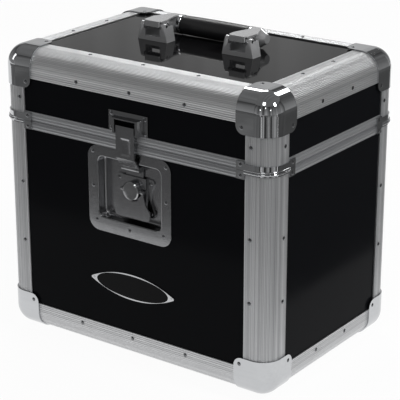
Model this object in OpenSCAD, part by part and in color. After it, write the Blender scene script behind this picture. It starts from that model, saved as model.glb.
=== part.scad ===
// Record carrying case: laminated plywood panels held in aluminium edge extrusions,
// a lid hinged along the back, steel ball corners, a recessed twist latch on the
// front and a folding carrying handle on the lid. Millimetres, +Z up, front at -Y.
// The origin is on the floor under the middle of the case.

/* [Case] */
// Width over the edge extrusions
case_w = 372; // [364:1:420]
// Depth over the edge extrusions
case_d = 258; // [240:1:300]
// Height of the body from the bottom extrusion to the seam
body_h = 260.5; // [235:0.5:300]
// Height of the lid from the seam to its top extrusion
lid_h = 83.5; // [78:0.5:110]
// Open gap between lid and body at the seam
seam_gap = 0.3; // [0.2:0.1:0.6]
// Thickness of the laminated plywood
panel_t = 7; // [6:0.5:8]
// Thickness of the foam lining
foam_t = 3; // [2:0.5:4]
// Clearance between pieces that seat on each other
seat_gap = 0.1; // [0.05:0.05:0.2]

/* [Edge extrusions] */
// Width of each leg of an edge extrusion
edge_leg = 33; // [30:0.5:35]
// Outer radius of an edge extrusion
edge_r = 22; // [18:0.5:23]
// Thickness of the outer skin of an extrusion
edge_t = 1.5; // [1.2:0.1:2]
// Thickness of the inner angle and of the webs
angle_t = 1; // [0.8:0.1:1.2]
// Leg of the inner angle that holds the panels from inside
angle_leg = 16; // [15:0.5:18]
// Gap left between two extrusions that meet at a corner
edge_end_gap = 1; // [0.5:0.1:2]

/* [Seam rims] */
// Height of the lid rim above the seam
lid_rim_h = 10.7; // [9:0.1:13]
// Height of the body rim below the seam
body_rim_h = 10.1; // [8:0.1:12]
// How far the rim faces swell between their edges
rim_crown = 0.6; // [0.2:0.1:0.9]
// Thickness of the rim's inner leg
rim_leg_t = 1.2; // [1:0.1:1.6]
// Distance of the body rim's tongue from the outer face
fin_inset = 3.6; // [3.4:0.1:4]
// Thickness of the body rim's tongue
fin_t = 1.8; // [1.4:0.1:2]
// Height of the body rim's tongue above the body rim
fin_h = 4.2; // [3:0.1:4.5]
// Clearance outside the tongue in the lid's groove
fin_gap = 0.4; // [0.3:0.1:0.5]
// Clearance inside the tongue, where the groove swings over it
fin_swing_gap = 1.6; // [1.4:0.1:1.8]
// Solid web above the groove and below the tongue
rim_web = 1.5; // [1:0.1:2.5]

/* [Corners and braces] */
// Reach of each ball corner leaf from the case corner
ball_reach = 44.5; // [42:0.5:48]
// Thickness of ball corners and seam braces
ball_t = 1.5; // [1:0.1:1.8]
// Radius of the rounded leaf corners
leaf_r = 10; // [6:0.5:11]
// Distance of the leaf rivets from the case edges
leaf_rivet = 37.2; // [36:0.1:39]
// Reach of a seam brace from the case corner
brace_reach = 43.5; // [42:0.5:46]
// Width of the riveted tab of a seam brace
brace_tab_w = 10.5; // [9:0.5:11]
// Height of the riveted tab of a seam brace
brace_tab_h = 9.6; // [8:0.1:9.8]
// Height of the band that joins the tabs of a body brace round the corner
brace_band_h = 4; // [3:0.5:6]
// Height of the band that joins the tabs of a lid brace round the corner
lid_band_h = 7.6; // [4:0.2:8]
// Radius of the bead on the lid braces
lid_bead_r = 0.9; // [0.6:0.1:1.2]
// Radius of the bead on the body braces
body_bead_r = 1.3; // [1:0.1:1.4]

/* [Rivets] */
// Radius of a rivet head
rivet_head_r = 2.4; // [2:0.1:2.8]
// Height of a rivet head
rivet_head_h = 0.9; // [0.6:0.1:1.1]
// Radius of a rivet shank
rivet_r = 1.5; // [1.2:0.1:1.7]
// Length of a rivet shank
rivet_len = 6; // [5:0.5:7]
// Clearance round a rivet or screw shank
rivet_gap = 0.05; // [0.03:0.01:0.1]
// Distance of the extrusion rivets from the case edges
rivet_inset = 26; // [24.5:0.5:29]
// Spacing of the rivets along the width
rivet_pitch_x = 74.6; // [60:0.1:90]
// Spacing of the rivets along the depth
rivet_pitch_y = 62; // [50:1:80]
// Height of the lower body corner rivets above the bottom
rivet_low_h = 111; // [90:1:120]
// Distance of the upper body corner rivets below the seam
rivet_high_drop = 76.5; // [60:0.5:90]
// Height of the lid corner rivets above the seam
rivet_lid_h = 26; // [18:1:34]

/* [Hinges] */
// Distance of the hinge axis behind the back face
hinge_offset = 3.2; // [3.1:0.1:4]
// Outer radius of a hinge knuckle
knuckle_r = 3; // [2.6:0.1:3]
// Radius of the hinge pin
hinge_pin_r = 1.5; // [1.2:0.1:1.6]
// Running clearance round hinge, wing, tongue and handle pins
pin_gap = 0.05; // [0.02:0.01:0.1]
// Distance of each hinge's middle from the side of the case
hinge_edge = 81; // [76:1:110]
// Width of a hinge
hinge_w = 50; // [40:1:60]
// Height of a hinge leaf
hinge_leaf_h = 32; // [28:1:36]
// Spacing of the rivets across a hinge leaf
hinge_rivet_x = 34; // [26:1:34]
// Distance of the hinge rivets from the seam
hinge_rivet_z = 22; // [18:0.5:24]

/* [Latch] */
// Distance of the latch from the middle of the case, to the right
latch_x = -2; // [-6:0.5:6]
// Distance of the latch hub below the seam
hub_drop = 56.5; // [55.5:0.1:57]
// Width of the latch dish over its flange
dish_w = 116; // [112:1:124]
// Height of the latch dish over its flange
dish_h = 101; // [99:0.5:106]
// Corner radius of the dish flange
dish_r = 14; // [8:0.5:18]
// Thickness of the dish flange and of the strike plate
dish_t = 1.2; // [0.8:0.1:1.3]
// Width of the dish recess
recess_w = 88; // [86:0.5:92]
// Height of the dish recess
recess_h = 72; // [71:0.5:75]
// Corner radius of the dish recess
recess_r = 7; // [3:0.5:9]
// Distance of the dish floor behind the case's front face
recess_depth = 13; // [12.8:0.1:14]
// Thickness of the recess wall
recess_t = 1; // [0.8:0.1:1.2]
// Distance from the top of the flange to the recess
recess_top = 12.2; // [11:0.1:13]
// Height of the tongue relief above the recess
relief_h = 8.2; // [7.8:0.1:9]
// Width of the tongue relief
relief_w = 28.5; // [27:0.5:30]
// Radius of the hub
hub_r = 11; // [9:0.5:11.5]
// Length of the hub in front of its cover
hub_len = 7; // [6:0.5:7.5]
// Radius of the hub's journal in the cover
journal_r = 6; // [4:0.5:6.5]
// Radius of the lifting cam
cam_r = 7; // [6.5:0.1:7.4]
// Offset of the lifting cam, half of the tongue's lift
cam_offset = 3; // [2:0.1:3]
// Extra half height of the cam slot, for the even lift
cam_slack = 0.75; // [0.7:0.05:1]
// Thickness of the cam and of the carriage
carriage_t = 2; // [1.6:0.1:2.1]
// Clearance of sliding latch pieces
slide_gap = 0.3; // [0.2:0.05:0.4]
// Thickness of the latch cover
cover_t = 1.4; // [1:0.1:1.5]
// Width of the latch cover
cover_w = 54; // [52:0.5:58]
// Height of the cover above the hub axis
cover_up = 15.5; // [14:0.5:16.5]
// Height of the cover below the hub axis
cover_down = 30; // [29:0.5:31]
// Width of the raised channel in the cover
channel_w = 31; // [30:0.5:32]
// Spacing of the cover rivets across
cover_rivet_x = 44; // [42:0.5:46]
// Upper cover rivets above the hub axis
cover_rivet_up = 10.5; // [9:0.5:12]
// Lower cover rivets below the hub axis
cover_rivet_down = 25; // [23:0.5:26.5]

/* [Wing and tongue] */
// Distance of the wing pin in front of the cover
wing_pin_out = 2.7; // [2.6:0.1:3.2]
// Radius of the wing and tongue pins
small_pin_r = 1.4; // [1.2:0.1:1.5]
// Radius of the wing's rolled eyes
wing_eye_r = 2.2; // [2.1:0.1:2.3]
// Length of each wing eye
wing_eye_len = 4.2; // [3:0.1:5]
// Thickness of the wing
wing_t = 1.6; // [1.2:0.1:2]
// Reach of the wing below the hub axis
wing_len = 33; // [28:0.5:33.5]
// Width of the wing at its foot
wing_w = 49; // [40:0.5:50]
// Radius of the wing's notch round the hub
wing_notch_r = 12.8; // [12.6:0.1:13.4]
// Height of the tongue pin above the hub axis
tongue_pin_up = 26; // [25.5:0.1:26.3]
// Distance of the tongue pin behind the front face
tongue_pin_in = 5.5; // [5:0.1:5.8]
// Radius of the tongue's rolled eye
tongue_eye_r = 3.2; // [2.8:0.1:3.4]
// Width of the tongue
tongue_w = 25.4; // [23:0.2:26]
// Thickness of the tongue
tongue_t = 1.5; // [1.2:0.1:1.8]
// Distance of the tongue's face in front of the case's face
tongue_out = 6; // [5:0.1:6.2]
// Height of the tongue's top above its pin
tongue_h = 51; // [46:0.5:51]
// Height of the tongue's bend above its pin
tongue_bend_h = 14; // [12:0.5:15]
// Gap between the tongue's hook and the lid rim
hook_gap = 0.4; // [0.3:0.1:0.8]

/* [Strike] */
// Width of the strike plate
strike_w = 54; // [50:1:58]
// Height of the strike plate
strike_h = 23.6; // [21:0.1:25]
// Width of the strike's raised frame at its foot
frame_w = 40; // [37:0.5:42]
// Slope of the frame's sides, across
frame_slope = 2.5; // [1:0.1:4]
// Height of the frame above the strike's lower edge
frame_h = 18.8; // [18.2:0.1:20]
// Width of the strike's window
window_w = 28.6; // [27.6:0.2:30]
// Clearance above the lifted tongue in the window
window_gap = 0.6; // [0.4:0.1:1]
// Spacing of the strike rivets across
strike_rivet_x = 46.4; // [43:0.2:48]
// Spacing of the strike rivets in height
strike_rivet_z = 16.5; // [14:0.5:18]

/* [Badge] */
// Width of the blank oval badge
badge_w = 118; // [100:1:130]
// Height of the blank oval badge
badge_h = 31; // [26:0.5:34]
// Height of the badge's centre above the bottom extrusion
badge_z = 89; // [75:1:100]
// Width of the badge's rim above and below
badge_rim_w = 1.6; // [1:0.1:2.5]
// Width of the badge's crescents at its two tips
badge_end_w = 8; // [6:0.5:10]
// Thickness of the badge's back plate
badge_t = 0.8; // [0.5:0.1:1]

/* [Handle] */
// Distance of each handle bracket from the middle
bracket_x = 59.5; // [55:0.5:65]
// Width of a bracket at its foot
bracket_w = 42; // [38:0.5:44]
// Depth of a bracket, front to back
bracket_d = 16; // [14:0.5:18]
// How far each side of a bracket leans in
bracket_lean = 3.5; // [1:0.1:4]
// Thickness of the bracket's sheet
bracket_t = 1.5; // [1.2:0.1:1.8]
// Width of the bracket's window
bracket_window_w = 21; // [18:0.5:22]
// Height of the window's sill above the lid
bracket_sill = 5.4; // [4:0.1:7]
// Distance of the handle pivot in front of the middle of the case
pivot_front = 4.5; // [3:0.5:6]
// Height of the handle pivot above the lid panel
pivot_up = 18; // [17:0.1:19]
// Radius of the handle pivot pins
pivot_pin_r = 1.7; // [1.3:0.1:1.8]
// Radius of the bracket's and arm's eyes
pivot_eye_r = 3.4; // [3:0.1:3.6]
// Thickness of the handle arms' sheet
arm_t = 1.8; // [1.5:0.1:2]
// Reach of an arm's front lip below the pivot
lip_drop = 1; // [0:0.2:2]
// Distance of the grip's axis behind the middle of the case
grip_back = 36; // [32:0.5:40]
// Clear space between the grip and the lid panel
grip_clear = 0.6; // [0.4:0.1:1.4]
// Radius of the grip
grip_r = 11.5; // [10:0.1:12]
// Length of the grip between its collars
grip_len = 93; // [80:1:94]
// Length of each collar
collar_len = 5.5; // [4:0.1:6]
// Length of the arm's end cup
cup_len = 17.5; // [15:0.1:18.5]
// Length of the tapered nose of the cup
cup_nose = 8.5; // [6:0.5:10]
// Radius of the steel rod through the grip
rod_r = 3; // [2:0.1:3.5]
// Mean radius of a handle spring
spring_r = 3.2; // [3:0.05:3.3]
// Wire diameter of a handle spring
spring_wire = 1.1; // [1:0.05:1.2]
// Rise of a handle spring from turn to turn
spring_pitch = 1.65; // [1.6:0.01:1.7]
// Number of turns in a handle spring
spring_turns = 10; // [6:1:10]
// Gap between a handle spring and the sleeve it sits on
sleeve_gap = 0.1; // [0.05:0.01:0.15]

/* [Feet] */
// Height of the rubber feet below the bottom extrusions
foot_h = 8; // [6:0.5:12]
// Radius of a rubber foot at the case
foot_r = 11; // [9:0.5:12]
// How much narrower a foot is at the floor
foot_taper = 1.5; // [0.5:0.1:2.5]
// Distance of each foot's centre from the case edges
foot_inset = 58; // [57:1:70]
// Radius of the foot screw's head
screw_head_r = 4; // [3:0.1:4.5]
// Height of the foot screw's head
screw_head_h = 2.4; // [1.6:0.1:3]
// Radius of the foot screw's shank
screw_r = 1.9; // [1.5:0.1:2.2]

/* [Hidden] */
$fn = 48;
eps = 0.01;

aluminium = [0.78, 0.79, 0.8];
steel = [0.62, 0.63, 0.65];
laminate = [0.06, 0.065, 0.07];
foam_black = [0.12, 0.12, 0.13];
rubber_black = [0.07, 0.07, 0.07];

// Half sizes of the case and its levels above the floor
hx = case_w / 2;
hy = case_d / 2;
hinge_x = hx - hinge_edge;
base_z = foot_h;
seam_z = base_z + body_h;
top_z = seam_z + lid_h;
// Depths below the outer faces: panel face, panel back, inner angle, foam face
panel_in = edge_t + seat_gap;
panel_back = panel_in + panel_t;
angle_in = panel_back + seat_gap;
foam_face = angle_in + foam_t;
angle_end = angle_in + angle_leg;
// Distance of a panel's edge from the outer faces
panel_edge = edge_r + seat_gap;
edge_stop = edge_leg + edge_end_gap;
// Rims
rim_depth = angle_in + rim_leg_t;
groove_in = fin_inset - fin_gap;
groove_w = fin_t + fin_gap + fin_swing_gap;
groove_h = fin_h + seam_gap + fin_gap;
lid_block_h = groove_h + rim_web;
lid_panel_z = seam_z + seam_gap / 2 + lid_block_h + seat_gap;
body_panel_z = seam_z - seam_gap / 2 - rim_web - seat_gap;
// Latch levels
hub_z = seam_z - hub_drop;
dish_top_z = seam_z - seam_gap / 2 - body_rim_h - 2 * seat_gap;
recess_top_z = dish_top_z - recess_top;
recess_bottom_z = recess_top_z - recess_h;
flange_out = panel_in - seat_gap - dish_t;
carriage_back = recess_depth - slide_gap;
carriage_face = carriage_back - carriage_t;
cover_back = carriage_face - slide_gap;
cover_face = cover_back - cover_t;
hub_back = cover_face - slide_gap;
hub_face = hub_back - hub_len;
wing_axis_in = cover_face - wing_pin_out;
tongue_z = hub_z + tongue_pin_up;
lift = 2 * cam_offset;
lug_t = 2.5;
tongue_eye_w = tongue_w - 2 * lug_t - 2 * slide_gap - 0.8;
// Strike levels
strike_z = seam_z + seam_gap / 2 + lid_rim_h + 2 * seat_gap;
frame_out = hinge_offset + knuckle_r;
window_top_z = tongue_z + tongue_h + lift + window_gap;
// Handle levels
lid_face_z = top_z - panel_in;
pivot_y = -pivot_front;
pivot_z = lid_face_z + pivot_up;
grip_y = grip_back;
grip_z = lid_face_z + grip_clear + grip_r;
collar_x = grip_len / 2 + seat_gap;
cup_x = collar_x + collar_len + seat_gap;
bracket_front = -9;
ear_half = 12.4;
ear_t = 3;

// ---- shared shapes ----

// Square from inset to reach on both axes, with the corner near the origin rounded
module rounded_corner(reach, inset) {
    difference() {
        translate([inset, inset]) square(reach - inset);
        difference() {
            translate([inset, inset]) square(edge_r - inset);
            translate([edge_r, edge_r]) circle(edge_r - inset);
        }
    }
}

// Section of an edge extrusion: outer skin, inner angle and the webs that close the panel slots
module edge_section() {
    difference() {
        rounded_corner(edge_leg, 0);
        rounded_corner(edge_leg + 1, edge_t);
    }
    difference() {
        translate([angle_in, angle_in]) square(angle_leg);
        translate([angle_in + angle_t, angle_in + angle_t]) square(angle_leg);
    }
    translate([edge_r - angle_t, edge_t / 2]) square([angle_t, angle_in - edge_t / 2 + angle_t / 2]);
    translate([edge_t / 2, edge_r - angle_t]) square([angle_in - edge_t / 2 + angle_t / 2, angle_t]);
}

// Rectangle centred on the origin with four rounded corners
module round_rect(w, h, r) {
    square([w - 2 * r, h], center = true);
    square([w, h - 2 * r], center = true);
    for (sx = [-1, 1]) for (sy = [-1, 1])
        translate([sx * (w / 2 - r), sy * (h / 2 - r)]) circle(r);
}

// Moves a shape drawn at the lower left front corner to the corner given by the signs
module to_corner(sx, sy) {
    scale_x = sx > 0;
    scale_y = sy > 0;
    translate([sx * hx, sy * hy, 0])
        mirror([scale_x ? 1 : 0, 0, 0])
            mirror([0, scale_y ? 1 : 0, 0]) children();
}

module all_corners() {
    for (sx = [-1, 1]) for (sy = [-1, 1]) to_corner(sx, sy) children();
}

// Turns a shape drawn in plan and raised along Z so that it faces the front:
// plan X stays, plan Y becomes height, and its depth runs inwards from the front face
module on_front(depth) {
    translate([0, -hy + depth, 0]) rotate([90, 0, 0]) children();
}

// A section drawn as (depth inwards, height) swept along the four sides of the case
module four_sides(stop) {
    for (s = [-1, 1]) mirror([0, s > 0 ? 1 : 0, 0])
        translate([0, -hy, 0]) rotate([90, 0, 90])
            linear_extrude(case_w - 2 * stop, center = true) children();
    for (s = [-1, 1]) mirror([s > 0 ? 1 : 0, 0, 0])
        translate([-hx, 0, 0]) rotate([90, 0, 0])
            linear_extrude(case_d - 2 * stop, center = true) children();
}

// ---- rivets: each place is [position, outward direction as turns about X and Z] ----
face_front = [90, 0, 0];
face_back = [90, 0, 180];
face_left = [90, 0, -90];
face_right = [90, 0, 90];
face_up = [0, 0, 0];
face_down = [180, 0, 0];

module rivet(head_r = rivet_head_r, head_h = rivet_head_h, length = rivet_len) {
    crown = (head_r * head_r + head_h * head_h) / (2 * head_h);
    intersection() {
        translate([0, 0, head_h - crown]) sphere(crown);
        cylinder(r = head_r, h = head_h);
    }
    translate([0, 0, -length]) cylinder(r = rivet_r, h = length + eps);
}

module rivets_at(places) {
    for (p = places) translate(p[0]) rotate(p[1]) rivet();
}

module drill(places) {
    for (p = places) translate(p[0]) rotate(p[1])
        translate([0, 0, -rivet_len - rivet_gap])
            cylinder(r = rivet_r + rivet_gap, h = rivet_len + edge_t + 2);
}

// Rows of rivets along the width and depth, on the front, back, left and right at one height
function side_row(z) = concat(
    [for (i = [-1:1]) [[i * rivet_pitch_x, -hy, z], face_front]],
    [for (i = [-1:1]) [[i * rivet_pitch_x, hy, z], face_back]],
    [for (i = [-1, 1]) [[-hx, i * rivet_pitch_y / 2, z], face_left]],
    [for (i = [-1, 1]) [[hx, i * rivet_pitch_y / 2, z], face_right]]);
function flat_row(z, face) = concat(
    [for (i = [-1:1]) for (s = [-1, 1]) [[i * rivet_pitch_x, s * (hy - rivet_inset), z], face]],
    [for (i = [-1, 1]) for (s = [-1, 1]) [[s * (hx - rivet_inset), i * rivet_pitch_y / 2, z], face]]);
// Rivets on both legs of the four corner extrusions at one height
function corner_row(z) = concat(
    [for (s = [-1, 1]) [[s * (hx - rivet_inset), -hy, z], face_front]],
    [for (s = [-1, 1]) [[s * (hx - rivet_inset), hy, z], face_back]],
    [for (s = [-1, 1]) [[-hx, s * (hy - rivet_inset), z], face_left]],
    [for (s = [-1, 1]) [[hx, s * (hy - rivet_inset), z], face_right]]);
// Rivets through plates that stand a little proud, at a distance from the vertical edges
function plate_row(inset, z, proud) = concat(
    [for (s = [-1, 1]) [[s * (hx - inset), -hy - proud, z], face_front]],
    [for (s = [-1, 1]) [[s * (hx - inset), hy + proud, z], face_back]],
    [for (s = [-1, 1]) [[-hx - proud, s * (hy - inset), z], face_left]],
    [for (s = [-1, 1]) [[hx + proud, s * (hy - inset), z], face_right]]);
function plate_flat(inset, z, face) =
    [for (sx = [-1, 1]) for (sy = [-1, 1]) [[sx * (hx - inset), sy * (hy - inset), z], face]];

plate_out = seat_gap + ball_t;
brace_rivet_in = brace_reach - brace_tab_w / 2;
brace_rivet_z = seam_gap / 2 + brace_tab_h * 0.62;

body_edge_rivets = concat(side_row(base_z + rivet_inset), flat_row(base_z, face_down),
    corner_row(base_z + rivet_low_h), corner_row(seam_z - rivet_high_drop));
body_corner_rivets = concat(plate_row(leaf_rivet, base_z + leaf_rivet, plate_out),
    plate_flat(leaf_rivet, base_z - plate_out, face_down));
body_brace_rivets = plate_row(brace_rivet_in, seam_z - brace_rivet_z, plate_out);
hinge_out = seat_gap + edge_t;
body_hinge_rivets = [for (h = [-1, 1]) for (s = [-1, 1])
    [[h * hinge_x + s * hinge_rivet_x / 2, hy + hinge_out, seam_z - hinge_rivet_z], face_back]];
body_rivet_places = concat(body_edge_rivets, body_corner_rivets, body_brace_rivets,
    body_hinge_rivets);

lid_edge_rivets = concat(side_row(top_z - rivet_inset), flat_row(top_z, face_up),
    corner_row(seam_z + rivet_lid_h));
lid_corner_rivets = concat(plate_row(leaf_rivet, top_z - leaf_rivet, plate_out),
    plate_flat(leaf_rivet, top_z + plate_out, face_up));
lid_brace_rivets = plate_row(brace_rivet_in, seam_z + brace_rivet_z, plate_out);
lid_hinge_rivets = [for (h = [-1, 1]) for (s = [-1, 1])
    [[h * hinge_x + s * hinge_rivet_x / 2, hy + hinge_out, seam_z + hinge_rivet_z], face_back]];
strike_rivets = [for (sx = [-1, 1]) for (sz = [-1, 1])
    [[latch_x + sx * strike_rivet_x / 2, -hy + flange_out,
      strike_z + strike_h / 2 + sz * strike_rivet_z / 2], face_front]];
lid_rivet_places = concat(lid_edge_rivets, lid_corner_rivets, lid_brace_rivets,
    lid_hinge_rivets, strike_rivets);

// Dish rivets: beside and below the recess, on the middle of the flange
flange_x = (dish_w + recess_w) / 4;
flange_low_z = (recess_bottom_z + dish_top_z - dish_h) / 2;
dish_rivets = concat(
    [for (s = [-1, 1]) for (z = [dish_top_z - recess_top / 2 - 1.5, (recess_top_z + recess_bottom_z) / 2,
        flange_low_z + 4]) [[latch_x + s * flange_x * (z < recess_bottom_z ? 0.92 : 1),
        -hy + flange_out, z], face_front]],
    [[[latch_x, -hy + flange_out, flange_low_z], face_front]]);
cover_rivets = concat(
    [for (s = [-1, 1]) [[latch_x + s * cover_rivet_x / 2, -hy + recess_depth - seat_gap - cover_t,
        hub_z + cover_rivet_up], face_front]],
    [for (s = [-1, 1]) [[latch_x + s * cover_rivet_x / 2, -hy + recess_depth - seat_gap - cover_t,
        hub_z - cover_rivet_down], face_front]]);
cover_rivet_len = cover_t + seat_gap + recess_t - 0.2;

// ---- panels ----

module panel_slab(size) {
    color(laminate) cube(size, center = true);
}

module wall_front(z0, z1) {
    translate([0, -hy + panel_in + panel_t / 2, (z0 + z1) / 2])
        panel_slab([case_w - 2 * panel_edge, panel_t, z1 - z0]);
}

module wall_side(z0, z1) {
    translate([-hx + panel_in + panel_t / 2, 0, (z0 + z1) / 2])
        panel_slab([panel_t, case_d - 2 * panel_edge, z1 - z0]);
}

module recess_outline(grow) {
    translate([latch_x, (recess_top_z + recess_bottom_z) / 2])
        round_rect(recess_w + 2 * grow, recess_h + 2 * grow, recess_r + grow);
    translate([latch_x - relief_w / 2 - grow, recess_top_z - recess_r])
        square([relief_w + 2 * grow, recess_r + relief_h + grow]);
}

module bottom_panel() {
    difference() {
        translate([0, 0, base_z + panel_in + panel_t / 2])
            panel_slab([case_w - 2 * panel_edge, case_d - 2 * panel_edge, panel_t]);
        drill(body_rivet_places);
        foot_places() translate([0, 0, base_z + panel_in - 1])
            cylinder(r = screw_r + rivet_gap, h = panel_t);
    }
}

module body_front_panel() {
    difference() {
        wall_front(base_z + panel_edge, body_panel_z);
        drill(body_rivet_places);
        drill(dish_rivets);
        on_front(panel_back + 1) linear_extrude(panel_t + 2)
            recess_outline(recess_t + seat_gap);
        for (s = [-1, 1]) translate([s * badge_pin_x, -hy + panel_in - 1, base_z + badge_z])
            rotate([-90, 0, 0]) cylinder(r = badge_pin_r + rivet_gap, h = badge_pin_len + 1.2);
    }
}

module body_back_panel() {
    difference() {
        mirror([0, 1, 0]) wall_front(base_z + panel_edge, body_panel_z);
        drill(body_rivet_places);
    }
}

module body_left_panel() {
    difference() {
        wall_side(base_z + panel_edge, body_panel_z);
        drill(body_rivet_places);
    }
}

module body_right_panel() {
    difference() {
        mirror([1, 0, 0]) wall_side(base_z + panel_edge, body_panel_z);
        drill(body_rivet_places);
    }
}

module lid_top_panel() {
    difference() {
        translate([0, 0, lid_face_z - panel_t / 2])
            panel_slab([case_w - 2 * panel_edge, case_d - 2 * panel_edge, panel_t]);
        drill(lid_rivet_places);
        drill(bracket_rivet_places);
    }
}

module lid_front_panel() {
    difference() {
        wall_front(lid_panel_z, top_z - panel_edge);
        drill(lid_rivet_places);
    }
}

module lid_back_panel() {
    difference() {
        mirror([0, 1, 0]) wall_front(lid_panel_z, top_z - panel_edge);
        drill(lid_rivet_places);
    }
}

module lid_left_panel() {
    difference() {
        wall_side(lid_panel_z, top_z - panel_edge);
        drill(lid_rivet_places);
    }
}

module lid_right_panel() {
    difference() {
        mirror([1, 0, 0]) wall_side(lid_panel_z, top_z - panel_edge);
        drill(lid_rivet_places);
    }
}

// ---- extrusions ----

module corner_posts(z0, z1) {
    all_corners() translate([0, 0, z0]) linear_extrude(z1 - z0) edge_section();
}

module body_corner_extrusions() {
    color(aluminium) difference() {
        corner_posts(base_z + edge_stop, seam_z - seam_gap / 2);
        drill(body_edge_rivets);
    }
}

module bottom_edge_extrusions() {
    color(aluminium) difference() {
        translate([0, 0, base_z]) four_sides(edge_stop) edge_section();
        drill(body_edge_rivets);
    }
}

module lid_corner_extrusions() {
    color(aluminium) difference() {
        corner_posts(seam_z + seam_gap / 2, top_z - edge_stop);
        drill(lid_edge_rivets);
    }
}

module top_edge_extrusions() {
    color(aluminium) difference() {
        translate([0, 0, top_z]) mirror([0, 0, 1]) four_sides(edge_stop) edge_section();
        drill(lid_edge_rivets);
    }
}

// Outer leg of a rim, swelling by the crown between its two edges
module rim_face(h) {
    swell_r = (h * h / 4 + rim_crown * rim_crown) / (2 * rim_crown);
    intersection() {
        translate([swell_r, h / 2]) circle(swell_r, $fn = 96);
        square([edge_t, h]);
    }
}

module lid_rim_section() {
    difference() {
        union() {
            translate([rim_crown, 0]) square([rim_depth - rim_crown, lid_block_h]);
            rim_face(lid_rim_h);
            translate([angle_in, 0]) square([rim_leg_t, lid_rim_h]);
        }
        translate([groove_in, -1]) square([groove_w, groove_h + 1]);
    }
}

module body_rim_section() {
    translate([rim_crown, -rim_web]) square([rim_depth - rim_crown, rim_web]);
    translate([0, -body_rim_h]) rim_face(body_rim_h);
    translate([angle_in, -body_rim_h]) square([rim_leg_t, body_rim_h]);
    translate([fin_inset, -rim_web]) square([fin_t, rim_web + fin_h]);
}

module lid_rim() {
    color(aluminium) difference() {
        translate([0, 0, seam_z + seam_gap / 2]) four_sides(edge_leg + seat_gap) lid_rim_section();
        drill(lid_brace_rivets);
    }
}

module body_rim() {
    color(aluminium) difference() {
        translate([0, 0, seam_z - seam_gap / 2]) four_sides(edge_leg + seat_gap) body_rim_section();
        drill(body_brace_rivets);
    }
}

// ---- ball corners and seam braces ----

// Flat leaf of a ball corner: a square with its inner corner rounded and a rivet hole
module leaf() {
    side = ball_reach - edge_r;
    difference() {
        square(side);
        difference() {
            translate([side - leaf_r, side - leaf_r]) square(leaf_r + 1);
            translate([side - leaf_r, side - leaf_r]) circle(leaf_r);
        }
        translate([leaf_rivet - edge_r, leaf_rivet - edge_r]) circle(rivet_r + rivet_gap);
    }
}

// Ball corner drawn at the origin, its leaves reaching along +X, +Y and +Z
module ball_corner() {
    side = ball_reach - edge_r;
    inner = edge_r + seat_gap;
    outer = inner + ball_t;
    translate([edge_r, edge_r, edge_r]) {
        intersection() {
            difference() {
                sphere(outer);
                sphere(inner);
            }
            translate([-outer - 1, -outer - 1, -outer - 1]) cube(outer + 1);
        }
        for (turn = [[0, 0, 0], [90, 0, 90], [-90, -90, 0]]) rotate(turn) {
            intersection() {
                linear_extrude(side) difference() {
                    circle(outer);
                    circle(inner);
                }
                translate([-outer - 1, -outer - 1, 0]) cube([outer + 1, outer + 1, side]);
            }
            translate([0, 0, -outer]) linear_extrude(ball_t) leaf();
        }
    }
}

module bottom_ball_corners() {
    color(steel) all_corners() translate([0, 0, base_z]) ball_corner();
}

module top_ball_corners() {
    color(steel) all_corners() translate([0, 0, top_z]) mirror([0, 0, 1]) ball_corner();
}

// Seam brace drawn at the origin and rising from the seam
module seam_brace(bead_r, band_h) {
    inner = edge_r + seat_gap;
    outer = inner + ball_t;
    straight = brace_reach - brace_tab_w - edge_r;
    translate([edge_r, edge_r, seam_gap / 2]) {
        rotate([0, 0, 180]) rotate_extrude(angle = 90) {
            translate([inner, 0]) square([ball_t, band_h]);
            intersection() {
                translate([outer, bead_r]) circle(bead_r);
                translate([outer - ball_t / 2, 0]) square([ball_t / 2 + bead_r, 2 * bead_r]);
            }
        }
    }
    for (side = [0, 1]) mirror([side, -side, 0]) translate([0, 0, seam_gap / 2]) {
        translate([edge_r, -plate_out, 0]) cube([straight, ball_t, band_h]);
        translate([edge_r, -plate_out, bead_r]) rotate([0, 90, 0]) intersection() {
            cylinder(r = bead_r, h = straight);
            translate([-bead_r, -bead_r, 0]) cube([2 * bead_r, bead_r + ball_t / 2, straight]);
        }
        difference() {
            translate([brace_reach - brace_tab_w, -plate_out, 0])
                cube([brace_tab_w, ball_t, brace_tab_h]);
            translate([brace_rivet_in, -plate_out - 1, brace_rivet_z - seam_gap / 2])
                rotate([-90, 0, 0]) cylinder(r = rivet_r + rivet_gap, h = ball_t + 2);
        }
    }
}

module lower_corner_braces() {
    color(steel) all_corners() translate([0, 0, seam_z]) mirror([0, 0, 1])
        seam_brace(body_bead_r, brace_band_h);
}

module upper_corner_braces() {
    color(steel) all_corners() translate([0, 0, seam_z]) seam_brace(lid_bead_r, lid_band_h);
}

module body_rivets() {
    color(steel) rivets_at(body_rivet_places);
}

module lid_rivets() {
    color(steel) rivets_at(lid_rivet_places);
}

// ---- hinges ----

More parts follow.
